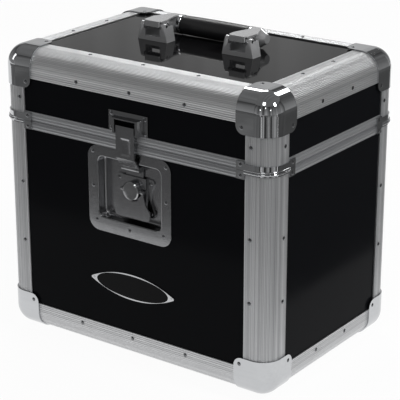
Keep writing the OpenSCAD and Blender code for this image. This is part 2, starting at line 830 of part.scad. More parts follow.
// Leaf below the seam with its own knuckles; knuckles lists the places of the five it carries
module hinge_leaf(knuckles) {
    section = hinge_w / 5;
    joggle_z = max(lid_rim_h, body_rim_h) + 1;
    difference() {
        union() {
            translate([-hinge_w / 2, seat_gap, -hinge_leaf_h])
                cube([hinge_w, edge_t, hinge_leaf_h - knuckle_r - 0.4]);
            translate([-hinge_w / 2, -edge_t, -hinge_leaf_h])
                cube([hinge_w, edge_t + seat_gap + eps, hinge_leaf_h - joggle_z]);
            for (k = knuckles) translate([-hinge_w / 2 + k * section + slide_gap / 2, 0, 0]) {
                translate([0, seat_gap, -knuckle_r - 1])
                    cube([section - slide_gap, edge_t, knuckle_r + 1]);
                translate([0, hinge_offset, 0]) rotate([0, 90, 0])
                    cylinder(r = knuckle_r, h = section - slide_gap);
            }
        }
        translate([-hinge_w, hinge_offset, 0]) rotate([0, 90, 0])
            cylinder(r = hinge_pin_r + pin_gap, h = 2 * hinge_w);
        for (s = [-1, 1]) translate([s * hinge_rivet_x / 2, -edge_t - 1, -hinge_rivet_z])
            rotate([-90, 0, 0]) cylinder(r = rivet_r + rivet_gap, h = 2 * edge_t + 3);
    }
}

module hinge_body_leaves() {
    color(steel) for (s = [-1, 1]) translate([s * hinge_x, hy, seam_z]) hinge_leaf([0, 2, 4]);
}

module hinge_lid_leaves() {
    color(steel) for (s = [-1, 1]) translate([s * hinge_x, hy, seam_z])
        mirror([0, 0, 1]) hinge_leaf([1, 3]);
}

module hinge_pins() {
    color(steel) for (s = [-1, 1]) translate([s * hinge_x - hinge_w / 2, hy + hinge_offset, seam_z])
        rotate([0, 90, 0]) cylinder(r = hinge_pin_r, h = hinge_w);
}

// ---- latch ----

module latch_dish() {
    dish_mid_z = dish_top_z - dish_h / 2;
    color(steel) difference() {
        union() {
            on_front(panel_in - seat_gap) linear_extrude(dish_t)
                translate([latch_x, dish_mid_z]) round_rect(dish_w, dish_h, dish_r);
            on_front(recess_depth + recess_t)
                linear_extrude(recess_depth + recess_t - panel_in + seat_gap + eps)
                    recess_outline(recess_t);
        }
        on_front(recess_depth) linear_extrude(recess_depth + 2) recess_outline(0);
        drill(dish_rivets);
        for (p = cover_rivets) translate(p[0]) rotate(p[1])
            translate([0, 0, -cover_rivet_len - rivet_gap])
                cylinder(r = rivet_r + rivet_gap, h = cover_rivet_len + 1);
    }
}

// Cover plate: a raised channel over the cam and carriage, with flat wings riveted to the dish
module latch_cover() {
    waist_r = 40;
    waist = 4;
    cover_h = cover_up + cover_down;
    mid = (cover_up - cover_down) / 2;
    seat = recess_depth - seat_gap;
    color(steel) difference() {
        intersection() {
            translate([latch_x, 0, hub_z]) difference() {
                translate([-cover_w / 2, -hy + cover_face, -cover_down])
                    cube([cover_w, seat - cover_face, cover_h]);
                translate([-channel_w / 2, -hy + cover_back, -cover_down - 1])
                    cube([channel_w, seat, cover_h + 2]);
                for (s = [-1, 1]) mirror([s > 0 ? 1 : 0, 0, 0])
                    translate([-cover_w, -hy + cover_face - 1, -cover_down - 1])
                        cube([cover_w - channel_w / 2 - cover_t, seat - cover_face - cover_t + 1,
                              cover_h + 2]);
            }
            on_front(seat + 1) linear_extrude(seat - cover_face + 2) difference() {
                translate([latch_x, hub_z + mid]) round_rect(cover_w, cover_h, 4);
                for (s = [-1, 1])
                    translate([latch_x + s * (cover_w / 2 - waist + waist_r), hub_z + mid])
                        circle(waist_r, $fn = 96);
            }
        }
        translate([latch_x, -hy, hub_z]) rotate([-90, 0, 0])
            cylinder(r = journal_r + pin_gap, h = recess_depth);
        for (p = cover_rivets) translate(p[0]) rotate(p[1])
            translate([0, 0, -cover_t - 1]) cylinder(r = rivet_r + rivet_gap, h = cover_t + 2);
    }
}

module latch_rivets() {
    color(steel) {
        rivets_at(dish_rivets);
        for (p = cover_rivets) translate(p[0]) rotate(p[1]) rivet(length = cover_rivet_len);
    }
}

// Hub: front boss with the wing pin's bore across it, and the journal that turns in the cover
module latch_hub() {
    chamfer = 1.2;
    color(steel) difference() {
        translate([latch_x, -hy + hub_back, hub_z]) rotate([90, 0, 0]) {
            cylinder(r = hub_r, h = hub_len - chamfer);
            translate([0, 0, hub_len - chamfer]) cylinder(r1 = hub_r, r2 = hub_r - chamfer, h = chamfer);
            translate([0, 0, -(carriage_face - slide_gap / 2 - hub_back)])
                cylinder(r = journal_r, h = carriage_face - slide_gap / 2 - hub_back + eps);
        }
        translate([latch_x - hub_r - 1, -hy + wing_axis_in, hub_z]) rotate([0, 90, 0])
            cylinder(r = small_pin_r + pin_gap, h = 2 * hub_r + 2);
    }
}

// Round cam set off the hub's axis; it lifts the carriage as the hub turns
module latch_cam() {
    color(steel) translate([latch_x, -hy + carriage_back - slide_gap / 2, hub_z - cam_offset])
        rotate([90, 0, 0]) cylinder(r = cam_r, h = carriage_t);
}

// Sliding plate with the cam's slot, a neck and two lugs for the tongue pin
module latch_carriage() {
    slot_w = 2 * (cam_r + cam_offset + slide_gap);
    slot_h = 2 * (cam_r + cam_slack);
    frame_wall = 3.4;
    plate_w = channel_w - 2 * slide_gap;
    plate_h = slot_h + 2 * frame_wall;
    neck_w = tongue_eye_w + 2 * slide_gap + 2 * lug_t;
    neck_top = tongue_pin_up + tongue_eye_r;
    color(steel) translate([latch_x, -hy, hub_z]) difference() {
        union() {
            translate([-plate_w / 2, carriage_face, -cam_offset - plate_h / 2])
                cube([plate_w, carriage_t, plate_h]);
            translate([-neck_w / 2, carriage_face, 0]) cube([neck_w, carriage_t, neck_top]);
            for (s = [-1, 1]) translate([s * (neck_w - lug_t) / 2 - lug_t / 2, 0, 0]) {
                translate([0, tongue_pin_in, tongue_pin_up - tongue_eye_r])
                    cube([lug_t, carriage_back - tongue_pin_in, 2 * tongue_eye_r]);
                translate([0, tongue_pin_in, tongue_pin_up]) rotate([0, 90, 0])
                    cylinder(r = tongue_eye_r, h = lug_t);
            }
        }
        translate([-slot_w / 2, carriage_face - 1, -cam_offset - slot_h / 2])
            cube([slot_w, carriage_t + 2, slot_h]);
        translate([-tongue_w, tongue_pin_in, tongue_pin_up]) rotate([0, 90, 0])
            cylinder(r = small_pin_r + pin_gap, h = 2 * tongue_w);
    }
}

// Side view of the tongue as (distance behind the front face, height above the pin)
module tongue_side() {
    out = -tongue_out;
    eye_front = tongue_pin_in - tongue_eye_r;
    polygon([
        [eye_front, 0], [eye_front, 2.5], [out, tongue_bend_h], [out, tongue_h],
        [-hook_gap, tongue_h], [-hook_gap, tongue_h - tongue_t],
        [out + tongue_t, tongue_h - tongue_t], [out + tongue_t, tongue_bend_h + 0.6],
        [eye_front + tongue_t, 3.1], [eye_front + tongue_t, 0]
    ]);
}

module latch_tongue() {
    flange_foot = tongue_bend_h + 2;
    dimple_w = 15.5;
    dimple_h = 20.5;
    dimple_d = 0.7;
    clear_r = tongue_eye_r + slide_gap;
    color(steel) translate([latch_x, -hy, tongue_z]) difference() {
        union() {
            rotate([90, 0, 90]) linear_extrude(tongue_w, center = true) tongue_side();
            for (s = [-1, 1])
                translate([s * (tongue_w - tongue_t) / 2 - tongue_t / 2, -tongue_out, flange_foot])
                    cube([tongue_t, tongue_out - hook_gap - 0.2, tongue_h - flange_foot]);
            translate([-tongue_eye_w / 2, tongue_pin_in, 0]) rotate([0, 90, 0])
                cylinder(r = tongue_eye_r, h = tongue_eye_w);
        }
        for (s = [-1, 1]) translate([s * (tongue_eye_w / 2 + tongue_w / 2), tongue_pin_in, 0])
            rotate([0, 90, 0]) cylinder(r = clear_r, h = tongue_w, center = true);
        for (s = [-1, 1])
            translate([s * (tongue_eye_w / 2 + tongue_w / 2) - tongue_w / 2, -tongue_out, -clear_r])
                cube([tongue_w, tongue_out + tongue_pin_in, clear_r + 2.6]);
        translate([-tongue_w, tongue_pin_in, 0]) rotate([0, 90, 0])
            cylinder(r = small_pin_r + pin_gap, h = 2 * tongue_w);
        translate([0, -tongue_out + dimple_d, tongue_bend_h + 3 + dimple_h / 2])
            rotate([90, 0, 0]) linear_extrude(dimple_d + 1) round_rect(dimple_w, dimple_h, 3);
    }
}

module tongue_pin() {
    pin_w = tongue_eye_w + 2 * slide_gap + 2 * lug_t;
    color(steel) translate([latch_x - pin_w / 2, -hy + tongue_pin_in, tongue_z])
        rotate([0, 90, 0]) cylinder(r = small_pin_r, h = pin_w);
}

// Bell shaped outline of the wing, hub axis at the origin
module wing_outline() {
    half = wing_w / 2;
    shoulder = hub_r + slide_gap + wing_eye_len;
    foot_corner = 5;
    flare_r = 34;
    flare_rise = wing_len - foot_corner;
    difference() {
        union() {
            translate([-half, -wing_len + foot_corner]) square([2 * half, flare_rise]);
            translate([-half + foot_corner, -wing_len]) square([2 * (half - foot_corner), foot_corner]);
            for (s = [-1, 1])
                translate([s * (half - foot_corner), -wing_len + foot_corner]) circle(foot_corner);
        }
        circle(wing_notch_r);
        for (s = [-1, 1]) translate([s * (shoulder + flare_r), 0.5]) circle(flare_r, $fn = 96);
        for (s = [-1, 1]) translate([s * (shoulder + half) - half, -1]) square([2 * half, 4]);
    }
}

module latch_wing() {
    eye_x = hub_r + slide_gap;
    color(steel) translate([latch_x, -hy + wing_axis_in, hub_z]) difference() {
        union() {
            translate([0, wing_t / 2, 0]) rotate([90, 0, 0]) linear_extrude(wing_t) wing_outline();
            for (s = [-1, 1]) translate([s * (eye_x + wing_eye_len / 2) - wing_eye_len / 2, 0, 0])
                rotate([0, 90, 0]) cylinder(r = wing_eye_r, h = wing_eye_len);
        }
        translate([-wing_w, 0, 0]) rotate([0, 90, 0])
            cylinder(r = small_pin_r + pin_gap, h = 2 * wing_w);
    }
}

module wing_pin() {
    pin_w = 2 * (hub_r + slide_gap + wing_eye_len);
    color(steel) translate([latch_x - pin_w / 2, -hy + wing_axis_in, hub_z])
        rotate([0, 90, 0]) cylinder(r = small_pin_r, h = pin_w);
}

// Strike plate on the lid, with a raised frame whose window takes the tongue's hook
module strike_plate() {
    color(steel) difference() {
        union() {
            on_front(panel_in - seat_gap) linear_extrude(dish_t)
                translate([latch_x - strike_w / 2, strike_z]) square([strike_w, strike_h]);
            translate([latch_x, -hy, strike_z]) intersection() {
                linear_extrude(frame_h) polygon([
                    [-frame_w / 2, flange_out + eps], [-frame_w / 2 + frame_slope, -frame_out],
                    [frame_w / 2 - frame_slope, -frame_out], [frame_w / 2, flange_out + eps]]);
                rotate([90, 0, 90]) linear_extrude(frame_w, center = true) polygon([
                    [flange_out + eps, 0], [-frame_out, 0],
                    [-frame_out, frame_h - frame_slope / 2], [flange_out + eps, frame_h]]);
            }
        }
        translate([latch_x - window_w / 2, -hy - frame_out - 1, strike_z - 1])
            cube([window_w, frame_out + 1 + panel_in, window_top_z - strike_z + 1]);
        drill(strike_rivets);
    }
}

// ---- badge ----
badge_pin_r = 0.9;
badge_pin_len = 4;
badge_pin_x = badge_w / 2 - badge_end_w / 2;

// Pointed oval: two wide arcs that meet at the tips, rounded there
module pointed_oval(w, h) {
    arc_r = (w * w / 4 + h * h / 4) / h;
    intersection() {
        lens(arc_r - h / 2) circle(arc_r, $fn = 720);
        square([w - h * 0.12, h], center = true);
    }
}

// The overlap of a shape moved up and the same shape moved down
module lens(shift) {
    intersection() {
        translate([0, shift]) children();
        translate([0, -shift]) children();
    }
}

module oval(w, h) {
    steps = 72;
    polygon([for (i = [0:steps - 1]) [w / 2 * cos(i * 360 / steps), h / 2 * sin(i * 360 / steps)]]);
}

module badge_plate() {
    color(laminate) on_front(panel_in - seat_gap) translate([0, base_z + badge_z, 0])
        linear_extrude(badge_t)
            oval(badge_w - 2 * badge_end_w - 0.2, badge_h - 2 * badge_rim_w - 0.2);
}

// Rim: narrow above and below, widening to a crescent at each tip, which the pins hold
module badge_rim() {
    color(steel) on_front(panel_in - seat_gap) translate([0, base_z + badge_z, 0])
        linear_extrude(badge_t + 0.4) difference() {
            pointed_oval(badge_w * 1.03, badge_h);
            oval(badge_w - 2 * badge_end_w, badge_h - 2 * badge_rim_w);
            for (s = [-1, 1]) translate([s * badge_pin_x, 0]) circle(badge_pin_r + rivet_gap);
        }
}

module badge_pins() {
    head = 0.4;
    color(steel) for (s = [-1, 1])
        translate([s * badge_pin_x, -hy + panel_in - seat_gap - badge_t - head, base_z + badge_z])
            rotate([90, 0, 0]) {
                cylinder(r1 = badge_pin_r + 0.5, r2 = badge_pin_r, h = head);
                translate([0, 0, -badge_pin_len]) cylinder(r = badge_pin_r, h = badge_pin_len + eps);
            }
}

// ---- foam lining ----

// Pads on the four walls between two heights
module wall_pads(z0, z1) {
    pad_x = case_w - 2 * angle_end - 1;
    pad_y = case_d - 2 * angle_end - 1;
    for (s = [-1, 1]) {
        translate([0, s * (hy - angle_in - foam_t / 2), (z0 + z1) / 2])
            cube([pad_x, foam_t, z1 - z0], center = true);
        translate([s * (hx - angle_in - foam_t / 2), 0, (z0 + z1) / 2])
            cube([foam_t, pad_y, z1 - z0], center = true);
    }
}

module flat_pad(z0) {
    translate([0, 0, z0 + foam_t / 2])
        cube([case_w - 2 * angle_end - 1, case_d - 2 * angle_end - 1, foam_t], center = true);
}

// The front pad is laid in three strips, which leave the latch dish and its cover free
module body_foam() {
    free_w = recess_w + 2 * recess_t + 1;
    free_z = recess_bottom_z - recess_t - 0.5;
    color(foam_black) difference() {
        union() {
            wall_pads(base_z + angle_end + 0.5, seam_z - body_rim_h - 0.5);
            flat_pad(base_z + angle_in);
        }
        on_front(foam_face + 1) linear_extrude(foam_t + 2) {
            translate([latch_x - free_w / 2, free_z]) square([free_w, seam_z - free_z]);
            for (s = [-1, 1]) translate([latch_x + s * (free_w / 2 + 0.2) - 0.3, 0])
                square([0.6, free_z + 1]);
        }
    }
}

module lid_foam() {
    color(foam_black) {
        wall_pads(seam_z + lid_rim_h + 0.5, top_z - angle_end - 0.5);
        flat_pad(top_z - angle_in - foam_t);
    }
}

// ---- feet ----

module foot_places() {
    for (sx = [-1, 1]) for (sy = [-1, 1])
        translate([sx * (hx - foot_inset), sy * (hy - foot_inset), 0]) children();
}

foot_top = base_z + edge_t;
screw_seat = foot_top / 2;

module rubber_feet() {
    color(rubber_black) foot_places() difference() {
        cylinder(r1 = foot_r - foot_taper, r2 = foot_r, h = foot_top);
        translate([0, 0, -1]) cylinder(r = screw_r + rivet_gap, h = foot_top + 2);
        translate([0, 0, -1]) cylinder(r = screw_head_r + 0.3, h = screw_seat + 1);
    }
}

module foot_screws() {
    color(steel) foot_places() {
        translate([0, 0, screw_seat - screw_head_h - 0.05])
            cylinder(r = screw_head_r, h = screw_head_h);
        translate([0, 0, screw_seat - 0.1])
            cylinder(r = screw_r, h = foot_top - screw_seat + panel_t - 1.5);
    }
}

// ---- handle ----

bracket_z = lid_face_z + seat_gap;
bracket_rivet_x = 12;
bracket_rivet_y = bracket_front + bracket_d - 5;
bracket_rivet_places = [for (b = [-1, 1]) for (s = [-1, 1])
    [[b * bracket_x + s * bracket_rivet_x, bracket_rivet_y, bracket_z + bracket_t], face_up]];

// Front view of a bracket: upright sides that lean in, up to the pivot
module bracket_front_view(inset, z1) {
    half = bracket_w / 2 - inset;
    top_half = bracket_w / 2 - bracket_lean - inset;
    polygon([[-half, 0], [half, 0], [top_half, z1], [-top_half, z1]]);
}

module handle_bracket() {
    eye_len = bracket_w / 2 - bracket_lean - ear_half - slide_gap;
    wall_h = pivot_up - seat_gap;
    color(steel) translate([0, 0, bracket_z]) difference() {
        union() {
            difference() {
                translate([0, bracket_front + bracket_d, 0]) rotate([90, 0, 0])
                    linear_extrude(bracket_d) bracket_front_view(0, wall_h);
                translate([0, bracket_front + bracket_d - bracket_t, bracket_t]) rotate([90, 0, 0])
                    linear_extrude(bracket_d - 2 * bracket_t) bracket_front_view(bracket_t, wall_h + 1);
            }
            for (s = [-1, 1])
                translate([s * (ear_half + slide_gap + eye_len / 2) - eye_len / 2, pivot_y, wall_h])
                    rotate([0, 90, 0]) cylinder(r = pivot_eye_r, h = eye_len);
        }
        translate([-bracket_window_w / 2, bracket_front - 1, bracket_sill])
            cube([bracket_window_w, bracket_t + 2, wall_h]);
        translate([-ear_half - slide_gap, bracket_front - 1, wall_h - pivot_eye_r - 1])
            cube([2 * (ear_half + slide_gap), bracket_d + 2, 2 * pivot_eye_r + 2]);
        translate([-bracket_w, pivot_y, wall_h]) rotate([0, 90, 0])
            cylinder(r = pivot_pin_r + pin_gap, h = 2 * bracket_w);
        for (s = [-1, 1]) translate([s * bracket_rivet_x, bracket_rivet_y, -1])
            cylinder(r = rivet_r + rivet_gap, h = bracket_t + 2);
    }
}

module handle_bracket_left() {
    translate([-bracket_x, 0, 0]) handle_bracket();
}

module handle_bracket_right() {
    translate([bracket_x, 0, 0]) handle_bracket();
}

module handle_bracket_rivets() {
    color(steel) rivets_at(bracket_rivet_places);
}

module handle_pivot_pins() {
    pin_w = bracket_w - 2 * bracket_lean;
    color(steel) for (s = [-1, 1]) translate([s * bracket_x - pin_w / 2, pivot_y, pivot_z])
        rotate([0, 90, 0]) cylinder(r = pivot_pin_r, h = pin_w);
}

// Sleeves on the pivot pins that carry the springs, clear of the flats between the wire's bends
spring_steps = 8;
sleeve_r = spring_r * cos(180 / spring_steps) - spring_wire / 2 - sleeve_gap;

module spring_sleeves() {
    sleeve_w = 2 * (ear_half - ear_t) - 2 * slide_gap;
    color(steel) for (s = [-1, 1]) translate([s * bracket_x - sleeve_w / 2, pivot_y, pivot_z])
        rotate([0, 90, 0]) difference() {
            cylinder(r = sleeve_r, h = sleeve_w);
            translate([0, 0, -1]) cylinder(r = pivot_pin_r + pin_gap, h = sleeve_w + 2);
        }
}

// Torsion spring round a pivot pin: one unbroken wire, its two ends running straight down.
// Its path is a helix about X with a short straight tail at each end.
spring_sides = 6;
spring_count = spring_turns * spring_steps;
spring_half = spring_turns * spring_pitch / 2;
function spring_turn(i) = [
    -spring_half + spring_pitch * i / spring_steps,
    spring_r * cos(i * 360 / spring_steps),
    spring_r * sin(i * 360 / spring_steps)];
spring_path = concat(
    [spring_turn(0) + [0, 0, -spring_wire]],
    [for (i = [0:spring_count]) spring_turn(i)],
    [spring_turn(spring_count) + [0, 0, spring_wire]]);
function unit(v) = v / norm(v);
function path_dir(p, i) = unit(i == 0 ? p[1] - p[0]
    : i == len(p) - 1 ? p[i] - p[i - 1] : p[i + 1] - p[i - 1]);
function ring(p, i) =
    let (d = path_dir(p, i), a = unit(cross(d, [1, 0, 0])), b = cross(d, a))
        [for (k = [0:spring_sides - 1])
            p[i] + spring_wire / 2 * (a * cos(k * 360 / spring_sides) + b * sin(k * 360 / spring_sides))];
spring_gaps = [for (i = [0:spring_count - spring_steps])
    norm(spring_turn(i + spring_steps) - spring_turn(i)) - spring_wire];
echo("least gap between spring turns", min(spring_gaps));

module handle_spring() {
    rings = [for (i = [0:len(spring_path) - 1]) ring(spring_path, i)];
    points = [for (r = rings) for (v = r) v];
    last = len(spring_path) - 1;
    skin = [for (i = [0:last - 1]) for (k = [0:spring_sides - 1])
        let (a = i * spring_sides + k, b = i * spring_sides + (k + 1) % spring_sides)
            [[a, b, b + spring_sides], [a, b + spring_sides, a + spring_sides]]];
    caps = concat([for (k = [1:spring_sides - 2]) [0, k + 1, k]],
        [for (k = [1:spring_sides - 2]) [last * spring_sides, last * spring_sides + k,
            last * spring_sides + k + 1]]);
    color(steel) translate([0, pivot_y, pivot_z])
        polyhedron(points, concat([for (f = skin) for (t = f) t], caps));
}

module handle_spring_left() {
    translate([-bracket_x, 0, 0]) handle_spring();
}

module handle_spring_right() {
    translate([bracket_x, 0, 0]) handle_spring();
}

// Pressed steel arm drawn for the left side: two ears on the pivot pin, a plate that runs back
// over the grip's end, and a round cup that holds the grip and its rod
module handle_arm() {
    back = grip_y - pivot_y;
    drop = grip_z - pivot_z;
    plate_z = spring_r + spring_wire / 2 + 0.45;
    plate_front = -3;
    lip_w = bracket_window_w - 2 * slide_gap;
    cup_mid = bracket_x - cup_x - cup_len;
    cup_r = grip_r - 0.4;
    color(steel) translate([-bracket_x, pivot_y, pivot_z]) difference() {
        union() {
            for (s = [-1, 1]) translate([s * (ear_half - ear_t / 2) - ear_t / 2, 0, 0]) {
                rotate([0, 90, 0]) cylinder(r = pivot_eye_r, h = ear_t);
                cube([ear_t, 7, plate_z + eps]);
            }
            translate([0, 0, plate_z]) linear_extrude(arm_t) polygon([
                [-ear_half, plate_front], [-ear_half - 1, 16], [cup_mid + cup_nose, back],
                [cup_mid + cup_len, back], [cup_mid + cup_len, back - 14],
                [ear_half, 8], [ear_half, plate_front], [lip_w / 2, plate_front],
                [lip_w / 2, -plate_z - arm_t], [-lip_w / 2, -plate_z - arm_t],
                [-lip_w / 2, plate_front]]);
            translate([-lip_w / 2, -plate_z - arm_t, -lip_drop])
                cube([lip_w, arm_t, plate_z + lip_drop + eps]);
            translate([cup_mid + cup_nose, back, drop]) rotate([0, 90, 0])
                cylinder(r = cup_r, h = cup_len - cup_nose);
            translate([cup_mid, back, drop]) rotate([0, 90, 0])
                cylinder(r1 = cup_r * 0.5, r2 = cup_r, h = cup_nose + eps);
        }
        translate([-bracket_w, 0, 0]) rotate([0, 90, 0])
            cylinder(r = pivot_pin_r + pin_gap, h = 2 * bracket_w);
        translate([cup_mid + 1, back, drop]) rotate([0, 90, 0])
            cylinder(r = rod_r + pin_gap, h = cup_len + 5);
    }
}

module handle_arm_left() {
    handle_arm();
}

module handle_arm_right() {
    mirror([1, 0, 0]) handle_arm();
}

module handle_collars() {
    color(steel) for (s = [-1, 1]) mirror([s > 0 ? 1 : 0, 0, 0])
        translate([-collar_x - collar_len, grip_y, grip_z]) rotate([0, 90, 0]) difference() {
            cylinder(r = grip_r, h = collar_len);
            translate([0, 0, -1]) cylinder(r = rod_r + pin_gap, h = collar_len + 2);
        }
}

module handle_grip() {
    nose = 2;
    color(rubber_black) translate([-grip_len / 2, grip_y, grip_z]) rotate([0, 90, 0]) difference() {
        union() {
            cylinder(r1 = grip_r - 1, r2 = grip_r, h = nose);
            translate([0, 0, nose]) cylinder(r = grip_r, h = grip_len - 2 * nose);
            translate([0, 0, grip_len - nose]) cylinder(r1 = grip_r, r2 = grip_r - 1, h = nose);
        }
        translate([0, 0, -1]) cylinder(r = rod_r + pin_gap, h = grip_len + 2);
    }
}

module handle_rod() {
    rod_len = 2 * (cup_x + cup_len - 1.2);
    color(steel) translate([-rod_len / 2, grip_y, grip_z]) rotate([0, 90, 0])
        cylinder(r = rod_r, h = rod_len);
}

bottom_panel();
body_front_panel();
body_back_panel();
body_left_panel();
body_right_panel();
body_corner_extrusions();
bottom_edge_extrusions();
body_rim();
bottom_ball_corners();
lower_corner_braces();
body_rivets();
latch_dish();
latch_cover();
latch_rivets();
badge_plate();
badge_rim();
badge_pins();
body_foam();
hinge_body_leaves();
hinge_pins();
rubber_feet();
foot_screws();
lid_top_panel();
lid_front_panel();
lid_back_panel();
lid_left_panel();
lid_right_panel();
lid_corner_extrusions();
top_edge_extrusions();
lid_rim();
top_ball_corners();
upper_corner_braces();
lid_rivets();
strike_plate();
lid_foam();
hinge_lid_leaves();
handle_bracket_left();
handle_bracket_right();
handle_bracket_rivets();
handle_pivot_pins();
spring_sleeves();
handle_spring_left();
handle_spring_right();
handle_arm_left();
handle_arm_right();
handle_collars();
handle_grip();
handle_rod();
latch_hub();
latch_cam();
latch_wing();
wing_pin();
latch_carriage();
latch_tongue();
tongue_pin();
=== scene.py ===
import math

import bmesh
import bpy
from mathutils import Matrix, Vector


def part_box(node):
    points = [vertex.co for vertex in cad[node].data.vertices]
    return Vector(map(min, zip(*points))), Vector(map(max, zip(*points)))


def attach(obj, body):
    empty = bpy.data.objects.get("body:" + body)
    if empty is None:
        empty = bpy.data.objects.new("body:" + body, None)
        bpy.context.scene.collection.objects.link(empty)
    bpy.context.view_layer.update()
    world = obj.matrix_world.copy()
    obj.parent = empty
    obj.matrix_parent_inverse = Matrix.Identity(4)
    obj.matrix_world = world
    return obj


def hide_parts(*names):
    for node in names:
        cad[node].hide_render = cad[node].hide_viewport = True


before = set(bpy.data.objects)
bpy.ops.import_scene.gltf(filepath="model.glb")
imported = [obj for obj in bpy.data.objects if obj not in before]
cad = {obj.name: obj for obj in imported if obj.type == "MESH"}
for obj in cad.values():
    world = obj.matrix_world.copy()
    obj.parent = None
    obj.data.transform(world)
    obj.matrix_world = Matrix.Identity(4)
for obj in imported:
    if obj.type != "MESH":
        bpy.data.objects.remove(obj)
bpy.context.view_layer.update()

bpy.ops.object.select_all(action="DESELECT")


# ---- Camera and studio ----
# The case stands on a white sweep, seen from its front right corner. Five softboxes and three
# small lamps stand where its plated corner mirrors them. Grey cards round the set, which only
# reflections see, give the plated parts something dark to mirror.
scene = bpy.context.scene
scene.view_settings.view_transform = "Standard"

look_down, look_round = 20.16, 35.9
bpy.ops.object.camera_add(location=(1.0229, -1.4105, 0.8043),
                          rotation=(math.radians(90 - look_down), 0, math.radians(look_round)))
camera = bpy.context.object
camera.name = "camera"
camera.data.sensor_width = 36
camera.data.lens = 141.6
camera.data.clip_start = 0.05
camera.data.clip_end = 60
scene.camera = camera


def add_node(tree, kind, values=None, **settings):
    """Adds a node with its settings, and then the constants of its inputs."""
    made = tree.nodes.new("ShaderNode" + kind)
    for setting, value in settings.items():
        setattr(made, setting, value)
    for socket, value in (values or {}).items():
        made.inputs[socket].default_value = value
    return made


def wire(tree, *pairs):
    """Links an output to an input, pair by pair."""
    for source, target in pairs:
        tree.links.new(source, target)


pure_white = (1, 1, 1, 1)
fill_light = 0.30
studio = bpy.data.worlds.new("studio_white")
scene.world = studio
studio.use_nodes = True
tree = studio.node_tree
tree.nodes.clear()
path = add_node(tree, "LightPath")
camera_or_gloss = add_node(tree, "Math", operation="MAXIMUM")
seen = add_node(tree, "Math", operation="MAXIMUM")
fill = add_node(tree, "Background", {"Color": pure_white, "Strength": fill_light})
shown = add_node(tree, "Background", {"Color": pure_white, "Strength": 1.0})
choose = add_node(tree, "MixShader")
out = add_node(tree, "OutputWorld")
wire(tree,
     (path.outputs["Is Camera Ray"], camera_or_gloss.inputs[0]),
     (path.outputs["Is Glossy Ray"], camera_or_gloss.inputs[1]),
     (camera_or_gloss.outputs[0], seen.inputs[0]),
     (path.outputs["Is Transmission Ray"], seen.inputs[1]),
     (seen.outputs[0], choose.inputs[0]),
     (fill.outputs[0], choose.inputs[1]),
     (shown.outputs[0], choose.inputs[2]),
     (choose.outputs[0], out.inputs["Surface"]))

case_middle, case_top, front_corner = (0, 0, 0.2), (0, 0, 0.3), (0.1, 0, 0.3)
spot_size, spot_watts = (0.17, 0.17), 0.5
for name, place, target, size, watts in (
        ("softbox_front_high", (0.57, -1.44, 2.04), case_middle, (0.5, 0.6), 5),
        ("softbox_right_high", (1.93, -0.06, 1.81), case_middle, (0.4, 0.5), 30),
        ("softbox_back_left", (-1.06, 1.20, 1.84), case_top, (0.9, 0.45), 11),
        ("softbox_back", (0.24, 1.96, 1.90), case_top, (0.6, 0.45), 6),
        ("softbox_left", (-2.4, -1.4, 1.3), case_middle, (0.5, 1.2), 4),
        ("spot_left", (0.21, -2.59, 1.13), front_corner, spot_size, spot_watts),
        ("spot_middle", (1.22, -2.01, 1.58), front_corner, spot_size, spot_watts),
        ("spot_right", (2.24, -1.47, 1.13), front_corner, spot_size, spot_watts)):
    bpy.ops.object.light_add(type="AREA", location=place)
    lamp = bpy.context.object
    lamp.name = name
    lamp.data.shape = "RECTANGLE"
    lamp.data.size, lamp.data.size_y = size
    lamp.data.energy = watts
    aim = Vector(target) - Vector(place)
    lamp.rotation_euler = aim.to_track_quat("-Z", "Y").to_euler()

sweep_grey, sweep_glow = (0.86, 0.86, 0.86, 1), 0.95
bpy.ops.mesh.primitive_plane_add(size=14, location=(0, 0, 0))
floor = bpy.context.object
floor.name = "studio_floor"
sweep = bpy.data.materials.new("white_sweep")
sweep.use_nodes = True
tree = sweep.node_tree
tree.nodes.clear()
matt = add_node(tree, "BsdfDiffuse", {"Color": sweep_grey})
glow = add_node(tree, "Emission", {"Color": pure_white, "Strength": 1.0})
path = add_node(tree, "LightPath")
seen = add_node(tree, "Math", operation="MAXIMUM")
share = add_node(tree, "Math", {1: sweep_glow}, operation="MULTIPLY")
both = add_node(tree, "MixShader")
out = add_node(tree, "OutputMaterial")
wire(tree,
     (path.outputs["Is Camera Ray"], seen.inputs[0]),
     (path.outputs["Is Glossy Ray"], seen.inputs[1]),
     (seen.outputs[0], share.inputs[0]),
     (share.outputs[0], both.inputs[0]),
     (matt.outputs[0], both.inputs[1]),
     (glow.outputs[0], both.inputs[2]),
     (both.outputs[0], out.inputs["Surface"]))
floor.data.materials.append(sweep)


